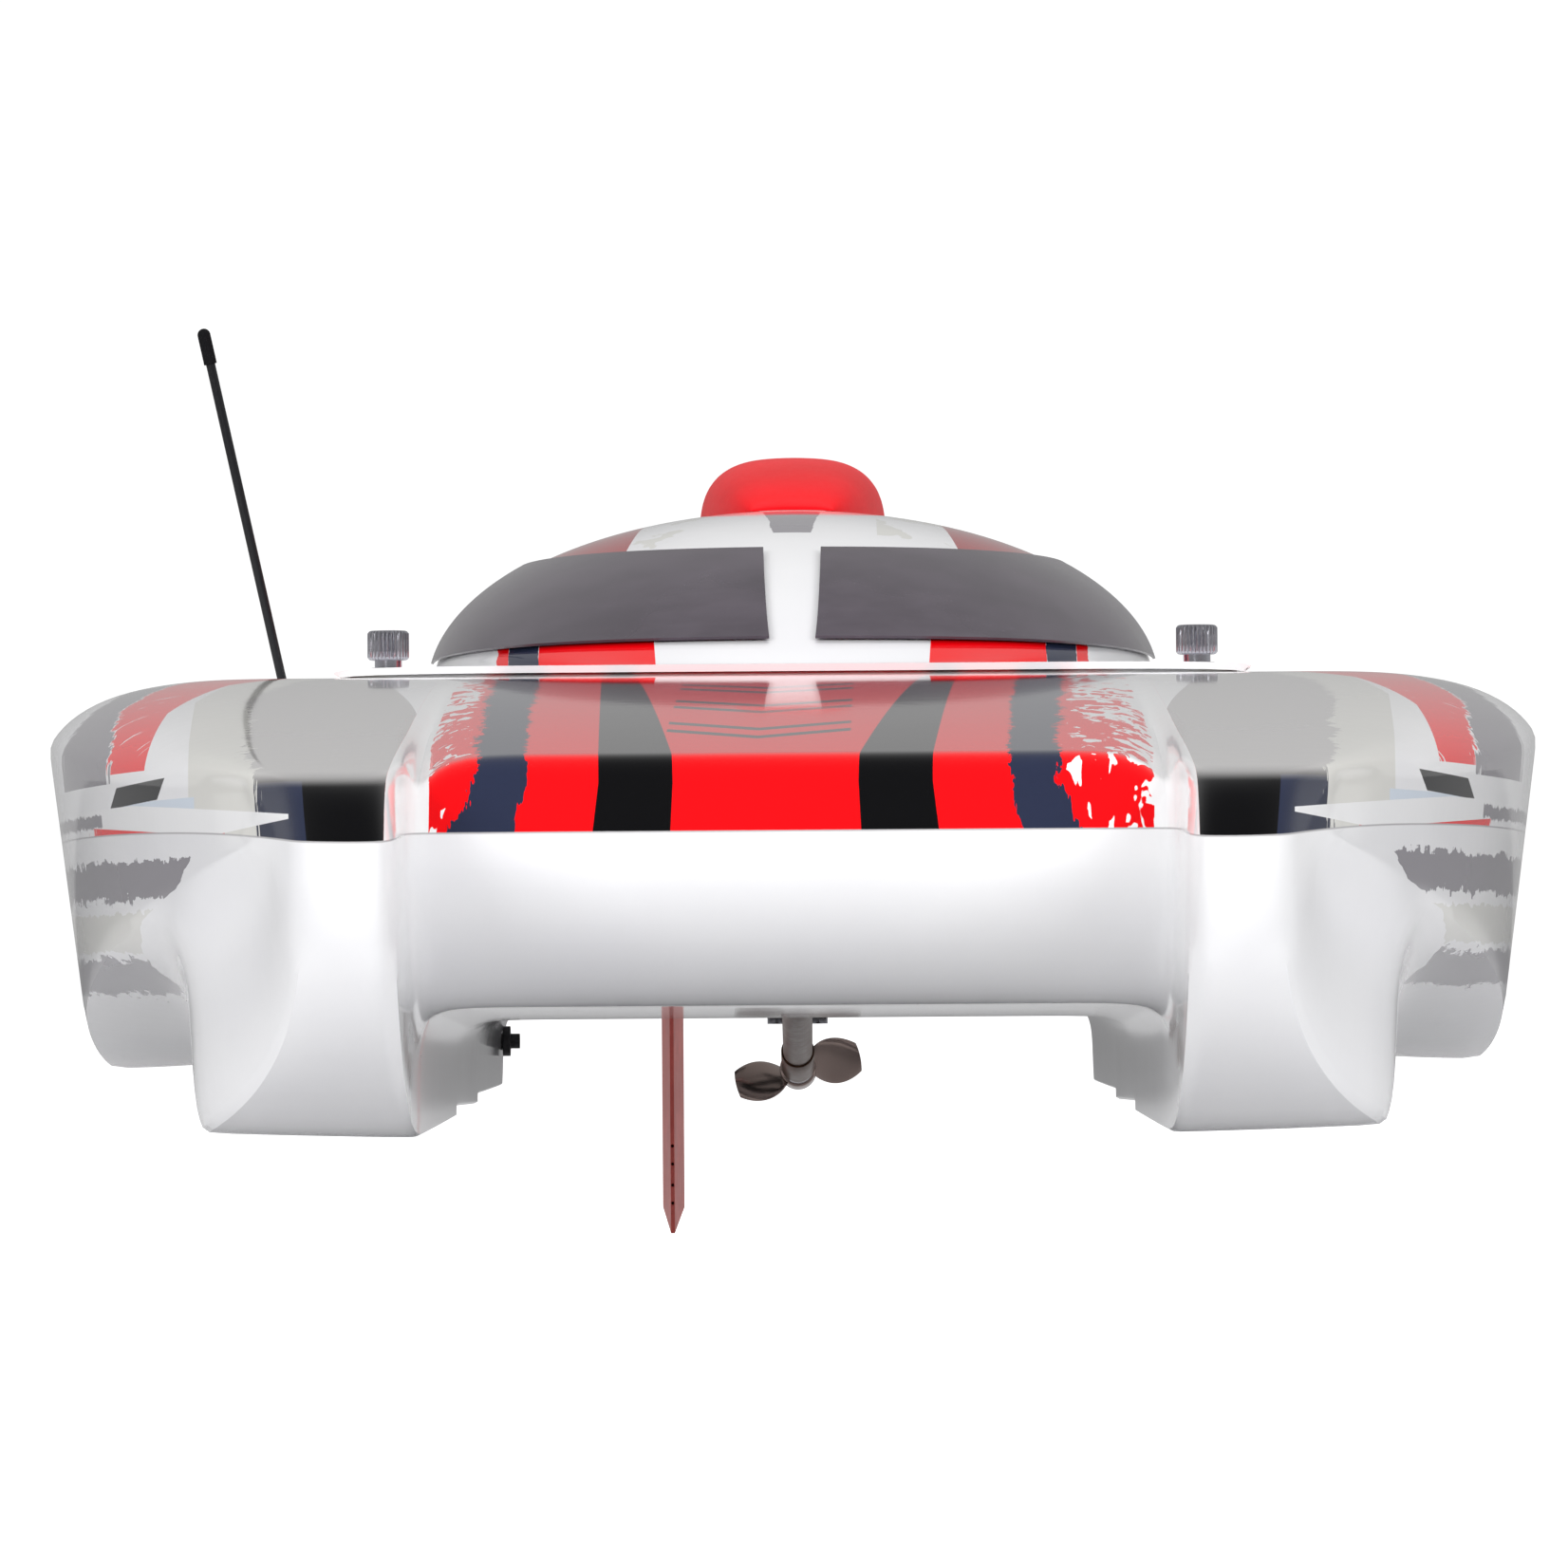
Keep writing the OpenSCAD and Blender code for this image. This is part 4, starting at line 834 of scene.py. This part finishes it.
def dress(obj, mat):
    obj.data.materials.clear()
    obj.data.materials.append(MATS[mat])
    return obj


def show(obj, mat, body, slot, *nodes):
    """Give a piece its material and body, and the CAD nodes that it stands in for."""
    if mat:
        dress(obj, mat)
    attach(obj, body)
    if nodes:
        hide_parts(*nodes)
    return obj


# ---- hull shell ----------------------------------------------------------------------------------------
LAST = ROWS - 1
SKIN = 2.0
# holes through the transom (x, z, radius): pushrod boot, drain plug and water inlet
TRANSOM_HOLES = ((-26, 60, 5.1), (70, 40, 3.05), (20, 40, 3.05))
OUTLET_Y = 1090  # the water outlet, in the tunnel wall
grid = [[hull_pt(i, k) for k in range(COLS)] for i in range(ROWS)]
grid.append([(p[0], p[1], rim_z(LENGTH)) if 0 < k < COLS - 1 else p for k, p in enumerate(grid[LAST])])
folds = [(LAST, None, 0, COLS - 1, 1.0)]
for side in (-1, 1):
    for h, w in ((14, 0.75), (7, 0.55), (8, 0.45), (10, 0.45), (4, 0.2)):
        folds.append((None, HALF + side * h, 3, LAST, w))
    folds.append((None, HALF + side * 14, 0, 3, 0.3))
for row in (NOSE_ROWS + 6, NOSE_ROWS + 7, NOSE_ROWS + 11, NOSE_ROWS + 12):
    for a, b in ((HALF - 12, HALF - 7), (HALF + 7, HALF + 12)):
        folds.append((row, None, a, b, 1.0))
hull = grid_object("hull_shell", grid, folds, [(LAST, 0), (LAST, COLS - 1)])
thicken(subdivide(hull, 2), SKIN)
apply_all(hull)
tools = [rod_between("t", (x, LENGTH - 12, z), (x, LENGTH + 8, z), r) for x, z, r in TRANSOM_HOLES]
wall = -tunnel(OUTLET_Y)
tools.append(rod_between("t", (wall - 8, OUTLET_Y, 15), (wall + 8, OUTLET_Y, 15), 3.05))
cut(hull, *tools)
show(sharpen(hull, 32), "hull", "hull", "hull_white", "hull_tub")

# ---- deck shell ----------------------------------------------------------------------------------------
grid = [[deck_pt(i, k) for k in range(COLS)] for i in range(ROWS)]
edge_k = HALF * 2 - 2
last = []
for k, p in enumerate(grid[LAST]):
    if k <= 2:
        last.append(grid[LAST][0])
    elif k >= COLS - 3:
        last.append(grid[LAST][COLS - 1])
    else:
        last.append((p[0] * grid[LAST][COLS - 1][0] / grid[LAST][edge_k][0], p[1], rim_z(LENGTH)))
grid.append(last)
folds = [(LAST, None, 0, COLS - 1, 1.0)]
for side in (-1, 1):
    folds.append((None, HALF + side * 14, 2, LAST, 0.35))
deck = grid_object("deck_shell", grid, folds, [(LAST, 0), (LAST, COLS - 1)], flip=True)
thicken(subdivide(deck, 2), SKIN)
apply_all(deck)
HATCH_LO, HATCH_HI = (boat(v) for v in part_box("hatch_moulding"))
HATCH_Y0, HATCH_Y1 = round(HATCH_LO[1]), round(HATCH_HI[1])
SCREWS = {}
for corner in ("fs", "fp", "rs", "rp"):
    lo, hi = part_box("thumb_screw_" + corner)
    SCREWS["thumb_screw_" + corner] = (boat(lo) + boat(hi)) / 2
tools = [prism("t0", round_rect(88, HATCH_Y0 + 18, HATCH_Y1 - 18, 14), 96, 120)]
tools += [prism("t1", disc(c[0], c[1], 3.1), 96, 120) for c in SCREWS.values()]
tools.append(prism("t2", disc(-136, 600, 3.0), 96, 120))
cut(deck, *tools)
show(sharpen(deck, 32), "deck", "hull", "deck_paint", "deck_moulding")

# ---- hatch with its canopy -----------------------------------------------------------------------------
FLANGE_LOW, FLANGE_TOP = 110.2, 112.0
DOME_Y0, DOME_RUN, DOME_TOP_Y, DOME_Y1, DOME_HIGH, DOME_HALF = HATCH_Y0 + 8.0, 190.0, 640.0, 915.0, 47.5, 96.0


def dome_u(y):
    """How far up its front slope the canopy is at station y, 0 to 1."""
    return clamp((y - DOME_Y0) / DOME_RUN)


def dome_tail(y):
    return 1 - 0.72 * clamp((y - DOME_TOP_Y) / (DOME_Y1 - DOME_TOP_Y)) ** 2.1


def dome_h(y):
    return (0.6 + (DOME_HIGH - 0.6) * (1 - (1 - dome_u(y)) ** 2)) * dome_tail(y)


def dome_a(y):
    taper = 1 - 0.35 * clamp((y - DOME_TOP_Y) / (DOME_Y1 - DOME_TOP_Y)) ** 2.4
    return (44 + (DOME_HALF - 44) * (1 - (1 - dome_u(y)) ** 2) ** 0.6) * taper


HATCH_Y = [HATCH_Y0, DOME_Y0 - 1, DOME_Y0 + 4, 404, 414, 426, 440, 456, 474, 494, 516, 542, 570, 604]
HATCH_Y += [640, 680, 720, 760, 800, 840, 875, 900, DOME_Y1, DOME_Y1 + 1.5, HATCH_Y1]
HATCH_T = [0, 0, 0, 4.5, 9, 14, 20, 26, 32, 39, 46, 54, 62, 70, 78, 84, 90]
HATCH_HALF = HATCH_HI[0]


def hatch_row(i):
    y, up = HATCH_Y[i], 1 if 1 < i < len(HATCH_Y) - 2 else 0
    a, hh = dome_a(y), max(0, dome_h(y)) * up
    half = [(HATCH_HALF, FLANGE_LOW + 0.1), (HATCH_HALF, FLANGE_TOP), (a + 2.5, FLANGE_TOP)]
    turns = [math.radians(t) for t in HATCH_T[3:]]
    half += [(a * math.cos(t), FLANGE_TOP + hh * math.sin(t)) for t in turns]
    left = [(-x, y, z) for x, z in half]
    return left + [(x, y, z) for x, z in half[-2::-1]]


rows = [hatch_row(i) for i in range(len(HATCH_Y))]
n = len(rows[0])
# one sheet: the flange's rim, a flat margin, and the dome rising out of it with a small cove
last_row = len(rows) - 1
folds = [(None, 2, 2, 22, 0.3), (None, n - 3, 2, 22, 0.3)]
folds += [(1, None, 2, n - 3, 0.5), (last_row - 1, None, 2, n - 3, 0.5)]
folds += [(0, None, 0, n - 1, 1.0), (last_row, None, 0, n - 1, 1.0)]
square = [(0, 0), (0, n - 1), (last_row, 0), (last_row, n - 1)]
canopy = grid_object("canopy_shell", rows, folds, square, flip=True)
thicken(subdivide(canopy, 2), 1.8)
apply_all(canopy)
cut(canopy, *[prism("t", disc(c[0], c[1], 2.4), 100, 130) for c in SCREWS.values()])
show(sharpen(canopy, 32), "canopy", "hatch", "canopy_paint", "hatch_moulding")


def pane_points(o, nr, nc, sign):
    rows = []
    for i in range(nr):
        fi = i / (nr - 1)
        z = lerp(6.2, 31.5, fi)
        t1 = math.degrees(math.asin(min(1, z / (DOME_HIGH - 0.9))))
        t0 = 84.5 + 0.6 * fi
        row = []
        for k in range(nc):
            th = math.radians(lerp(t0, t1, 1 - (1 - k / (nc - 1)) ** 2))
            hh = z / math.sin(th)
            u = 1 - math.sqrt(max(0, 1 - (hh - 0.6) / (DOME_HIGH - 0.6)))
            y = DOME_Y0 + DOME_RUN * u
            x = sign * (dome_a(y) + o) * math.cos(th)
            row.append((x, y - o * (1 - u), FLANGE_TOP + z + o * math.sin(th)))
        rows.append(row)
    return rows


for name, sign, node in (("screen_port", 1, "windscreen_port"), ("screen_stbd", -1, "windscreen_stbd")):
    pane = grid_object(name, pane_points(1.3, 19, 37, sign), flip=sign > 0)
    thicken(pane, 0.7)
    apply_all(pane)
    show(sharpen(pane, 40), "screen", "hatch", "tinted_screen", node)

SCOOP_Y = [590.5, 593, 600, 610, 624, 642, 664, 690, 720, 748]
SCOOP_TURN = [0, 4, 8, 14, 20, 27, 34, 42, 50, 59, 68, 79]
SCOOP_TURN = SCOOP_TURN + [90] + [180 - t for t in SCOOP_TURN[::-1]]


def scoop_dome(x, y):
    return FLANGE_TOP + dome_h(y) * math.sqrt(1 - (x / dome_a(y)) ** 2) + 0.4


def scoop_row(y):
    u = clamp((y - 590) / 100)
    f = (1 - (1 - u) ** 2) ** 0.62
    a, hh, out = 10 + 16 * f, 19.5 * f, []
    for t in SCOOP_TURN:
        r = math.radians(t)
        x = a * math.copysign(abs(math.cos(r)) ** 0.62, math.cos(r)) if abs(math.cos(r)) > 1e-9 else 0.0
        out.append((x, y, scoop_dome(x, y) + max(0, hh) * max(0, math.sin(r)) ** 0.7))
    return out


rows = [scoop_row(y) for y in SCOOP_Y]
foot = [(x, y, min(z, scoop_dome(x, y))) for x, y, z in rows[0]]
scoop = grid_object("scoop_shell", [foot] + rows, [(0, None, 0, len(SCOOP_TURN) - 1, 1.0)])
thicken(subdivide(scoop, 2), 1.5)
apply_all(scoop)
show(sharpen(scoop, 45), "scoop", "hatch", "scoop_red", "air_scoop")

# ---- thumb screws --------------------------------------------------------------------------------------
for node, c in SCREWS.items():
    z0, z1 = FLANGE_TOP + 2.6, FLANGE_TOP + 10.0

    def knurl(r, z, a, z0=z0, z1=z1):
        if r < 4.6 or z < z0 + 0.2 or z > z1 - 0.2:
            return r
        depth = 0.42 * clamp(min(z - z0 - 0.2, z1 - 0.2 - z) / 0.5)
        return r - depth * (0.5 + 0.5 * math.cos(a * 30)) ** 1.6

    head = [(0.001, z0), (3.4, z0), (4.3, z0), (4.75, z0 + 0.15), (5.2, z0 + 0.7), (5.2, z0 + 2.4)]
    head += [(5.2, z0 + 4.6), (5.2, z1 - 0.7), (4.75, z1 - 0.15), (4.3, z1), (3.2, z1)]
    head += [(2.9, z1 - 0.25), (0.001, z1 - 0.25)]
    neck = [(r, FLANGE_TOP + up) for r, up in ((0.001, 0.75), (3.4, 0.75), (3.4, 2.7), (0.001, 2.7))]
    parts = [lathe("p", head, 240, knurl), lathe("q", neck, 48)]
    stem = [(0.001, 102), (1.6, 102), (2.0, 102.5)]
    z = 102.5
    while z < 109.5:
        stem += [(2.0, z + 0.1), (1.72, z + 0.35), (2.0, z + 0.6)]
        z += 0.7
    stem += [(1.9, FLANGE_TOP + 0.9), (0.001, FLANGE_TOP + 0.9)]
    parts.append(lathe("r", stem, 32))
    body = node.replace("thumb_", "")
    obj = join(node + "_knurled", *parts)
    set_pose(obj, Matrix.Translation(Vector(place((c[0], c[1], 0)))))
    show(sharpen(obj, 30), "chrome", body, "chrome_steel", node)

# ---- propeller -----------------------------------------------------------------------------------------
SHAFT_TILT, PROP_Y, PROP_Z, PROP_R = 6.2, 1178.0, 4.2, 21.0
SHAFT = Matrix.Translation(Vector(place((0, PROP_Y, PROP_Z))))
SHAFT = SHAFT @ Matrix.Rotation(math.radians(-(90 + SHAFT_TILT)), 4, "X")


def blade_pt(u, v, side):
    r = lerp(4.6, PROP_R, u)
    chord = 4 + 15 * math.sin(math.radians(12 + 150 * u**0.9)) ** 0.8
    pitch = math.radians(58 - 34 * u)
    th = 1.1 * (1 - 0.55 * u) * math.sqrt(max(0.02, 1 - (2 * v) ** 2)) + 0.12
    c = chord * v + 3.5 * u
    cup = 2.2 * (2 * v) ** 2 * u * 0.5
    ax = c * math.sin(pitch) + (side * th + cup) * math.cos(pitch)
    an = (c * math.cos(pitch) - (side * th + cup) * math.sin(pitch)) / r
    return np.array((r * math.cos(an), r * math.sin(an), ax)) * 0.001


def blade(name):
    nu, nv = 34, 17
    vs = [0.5 * math.sin(math.pi * (k / (nv - 1) - 0.5)) for k in range(nv)]
    verts = [blade_pt(i / (nu - 1), v, s) for s in (1, -1) for i in range(nu) for v in vs]
    n, faces = nu * nv, []
    for i in range(nu - 1):
        for k in range(nv - 1):
            a, b, c, d = i * nv + k, i * nv + k + 1, (i + 1) * nv + k + 1, (i + 1) * nv + k
            faces += [(a, b, c, d), (n + d, n + c, n + b, n + a)]
    for i in range(nu - 1):
        for k in (0, nv - 1):
            a, b = i * nv + k, (i + 1) * nv + k
            faces.append((a, b, n + b, n + a) if k == 0 else (b, a, n + a, n + b))
    for k in range(nv - 1):
        for i in (0, nu - 1):
            a, b = i * nv + k, i * nv + k + 1
            faces.append((b, a, n + a, n + b) if i == 0 else (a, b, n + b, n + a))
    return tidy(mesh_object(name, verts, faces), 1e-7, True)


HUB = [(0.001, -7), (5.2, -7), (5.8, -6.6), (6, -6), (6, 5.4), (5.7, 6.5), (5.0, 7), (2.5, 7), (0.001, 7)]
hub = lathe("hub", HUB, 64)
b1, b2 = blade("b1"), blade("b2")
set_pose(b2, Matrix.Rotation(math.pi, 4, "Z"))
prop = join("propeller_cast", hub, b1, b2)
set_pose(prop, SHAFT @ Matrix.Rotation(math.radians(-20), 4, "Z"))
show(sharpen(prop, 40), "prop", "drive", "bronze_alloy", "propeller")

# ---- the other hardware keeps its CAD shape, with a real finish ----------------------------------------
FINISH = {
    "inner": "hatch_coaming",
    "brass": "hatch_inserts strut_bushes prop_nut",
    "ply": "bulkheads transom_doubler",
    "foam": "sponson_foam",
    "seal": "hatch_seal",
    "rubber": "screw_washers tube_fairing pushrod_boot battery_straps antenna_cap drain_plug",
    "blue": "motor_mount water_jacket",
    "screwsteel": "mount_screws stern_screws kick_bolt",
    "dark": "motor_can rudder_bracket rudder_holder speed_control",
    "steel": (
        "motor_rotor shaft_coupler flex_shaft propeller_shaft drive_dog rudder_pin pushrod "
        "inlet_nipple"
    ),
    "bronze": "stuffing_tube strut",
    "red": "rudder_blade",
    "plastic": "servo receiver battery_tray outlet_fitting antenna_mount antenna_tube",
    "alloy": "servo_mount servo_horn tab_hinges trim_tab_stbd trim_tab_port",
    "box": "radio_box radio_lid",
    "wrap": "battery_packs",
    "hose": "cooling_hoses",
}
for mat, names in FINISH.items():
    for node in names.split():
        obj = NODES[node]
        dress(obj, mat)
        weld = obj.modifiers.new("weld", "WELD")
        weld.merge_threshold = 1e-6
        soft = obj.modifiers.new("edge", "BEVEL")
        soft.width, soft.segments = 0.0002, 2
        soft.limit_method, soft.angle_limit = "ANGLE", math.radians(50)
        soft.harden_normals = False

# ---- studio --------------------------------------------------------------------------------------------
lo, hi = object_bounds()
floor_z = lo.z - 0.0005
FLOOR_HALF = 30
square = [(sx * FLOOR_HALF, sy * FLOOR_HALF, floor_z) for sx, sy in ((-1, -1), (1, -1), (1, 1), (-1, 1))]
floor = mesh_object("floor", square, [(0, 1, 2, 3)])
fm = Mat("floor_pale", Roughness=0.9, Specular_IOR_Level=0.1)
tone = fm.mix(fm.noise(400, 3, 0.5, centred=False), (0.66, 0.66, 0.67, 1), (0.7, 0.7, 0.71, 1))
fm.put(fm.shader.inputs["Base Color"], tone)
fm.shader.inputs["Emission Color"].default_value = (1, 1, 1, 1)
camera_ray = fm.tree.nodes.new("ShaderNodeLightPath").outputs["Is Camera Ray"]
fm.put(fm.shader.inputs["Emission Strength"], fm.op("MULTIPLY_ADD", Signal(fm, camera_ray), 1.0, 0.02))
floor.data.materials.append(fm.m)

world = bpy.data.worlds.new("studio")
bpy.context.scene.world = world
world.use_nodes = True
wt = world.node_tree
wt.nodes.clear()
out = wt.nodes.new("ShaderNodeOutputWorld")
mixer = wt.nodes.new("ShaderNodeMixShader")
path = wt.nodes.new("ShaderNodeLightPath")
seen, lit = wt.nodes.new("ShaderNodeBackground"), wt.nodes.new("ShaderNodeBackground")
seen.inputs[0].default_value, seen.inputs[1].default_value = (1, 1, 1, 1), 1.05
coord = wt.nodes.new("ShaderNodeTexCoord")
sep = wt.nodes.new("ShaderNodeSeparateXYZ")
rng = wt.nodes.new("ShaderNodeMapRange")
rng.interpolation_type = "SMOOTHSTEP"
for key, v in (("From Min", -0.8), ("From Max", 0.6), ("To Min", 0.2), ("To Max", 0.42)):
    rng.inputs[key].default_value = v
wt.links.new(coord.outputs["Generated"], sep.inputs[0])
wt.links.new(sep.outputs[1], rng.inputs["Value"])
wt.links.new(rng.outputs[0], lit.inputs[1])
lit.inputs[0].default_value = (1, 1, 1, 1)
wt.links.new(path.outputs["Is Camera Ray"], mixer.inputs[0])
wt.links.new(lit.outputs[0], mixer.inputs[1])
wt.links.new(seen.outputs[0], mixer.inputs[2])
wt.links.new(mixer.outputs[0], out.inputs[0])


def softbox(name, at, aim, size, watts, glint=True, tint=(1, 1, 1)):
    data = bpy.data.lights.new(name, "AREA")
    data.shape, data.size, data.size_y, data.energy, data.color = "RECTANGLE", size[0], size[1], watts, tint
    obj = link(bpy.data.objects.new(name, data))
    obj.location = at
    obj.visible_glossy = glint
    obj.rotation_euler = (Vector(aim) - Vector(at)).to_track_quat("-Z", "Y").to_euler()


softbox("top", (0, 0.0, 2.4), (0, 0, 0), (2.4, 2.4), 34, glint=False)
softbox("front_left", (-1.3, -2.5, 0.75), (-0.1, -0.4, 0.03), (1.0, 0.8), 34, glint=False)
softbox("front_right", (1.3, -2.5, 0.75), (0.1, -0.4, 0.03), (1.0, 0.8), 34, glint=False)
softbox("glint", (-0.9, -2.6, 0.5), (-0.1, -0.2, 0.1), (0.3, 0.3), 1.2)
softbox("back", (0, 3.0, 1.4), (0, 0.2, 0.05), (2.0, 1.0), 10, glint=False)

scene = bpy.context.scene
scene.view_settings.view_transform = "Standard"
scene.view_settings.look = "None"
cam_data = bpy.data.cameras.new("camera")
cam = link(bpy.data.objects.new("camera", cam_data))
cam_data.sensor_width, cam_data.lens = 36.0, 217.9
cam_data.clip_start, cam_data.clip_end = 0.05, 100
cam.location = (0.0026, -2.55, 0.0101)
YAW, PITCH, ROLL = 0.12, 90 + 1.17, -0.42
turn = Matrix.Rotation(math.radians(YAW), 3, "Z") @ Matrix.Rotation(math.radians(PITCH), 3, "X")
turn = turn @ Matrix.Rotation(math.radians(ROLL), 3, "Z")
cam.rotation_euler = turn.to_euler()
scene.camera = cam
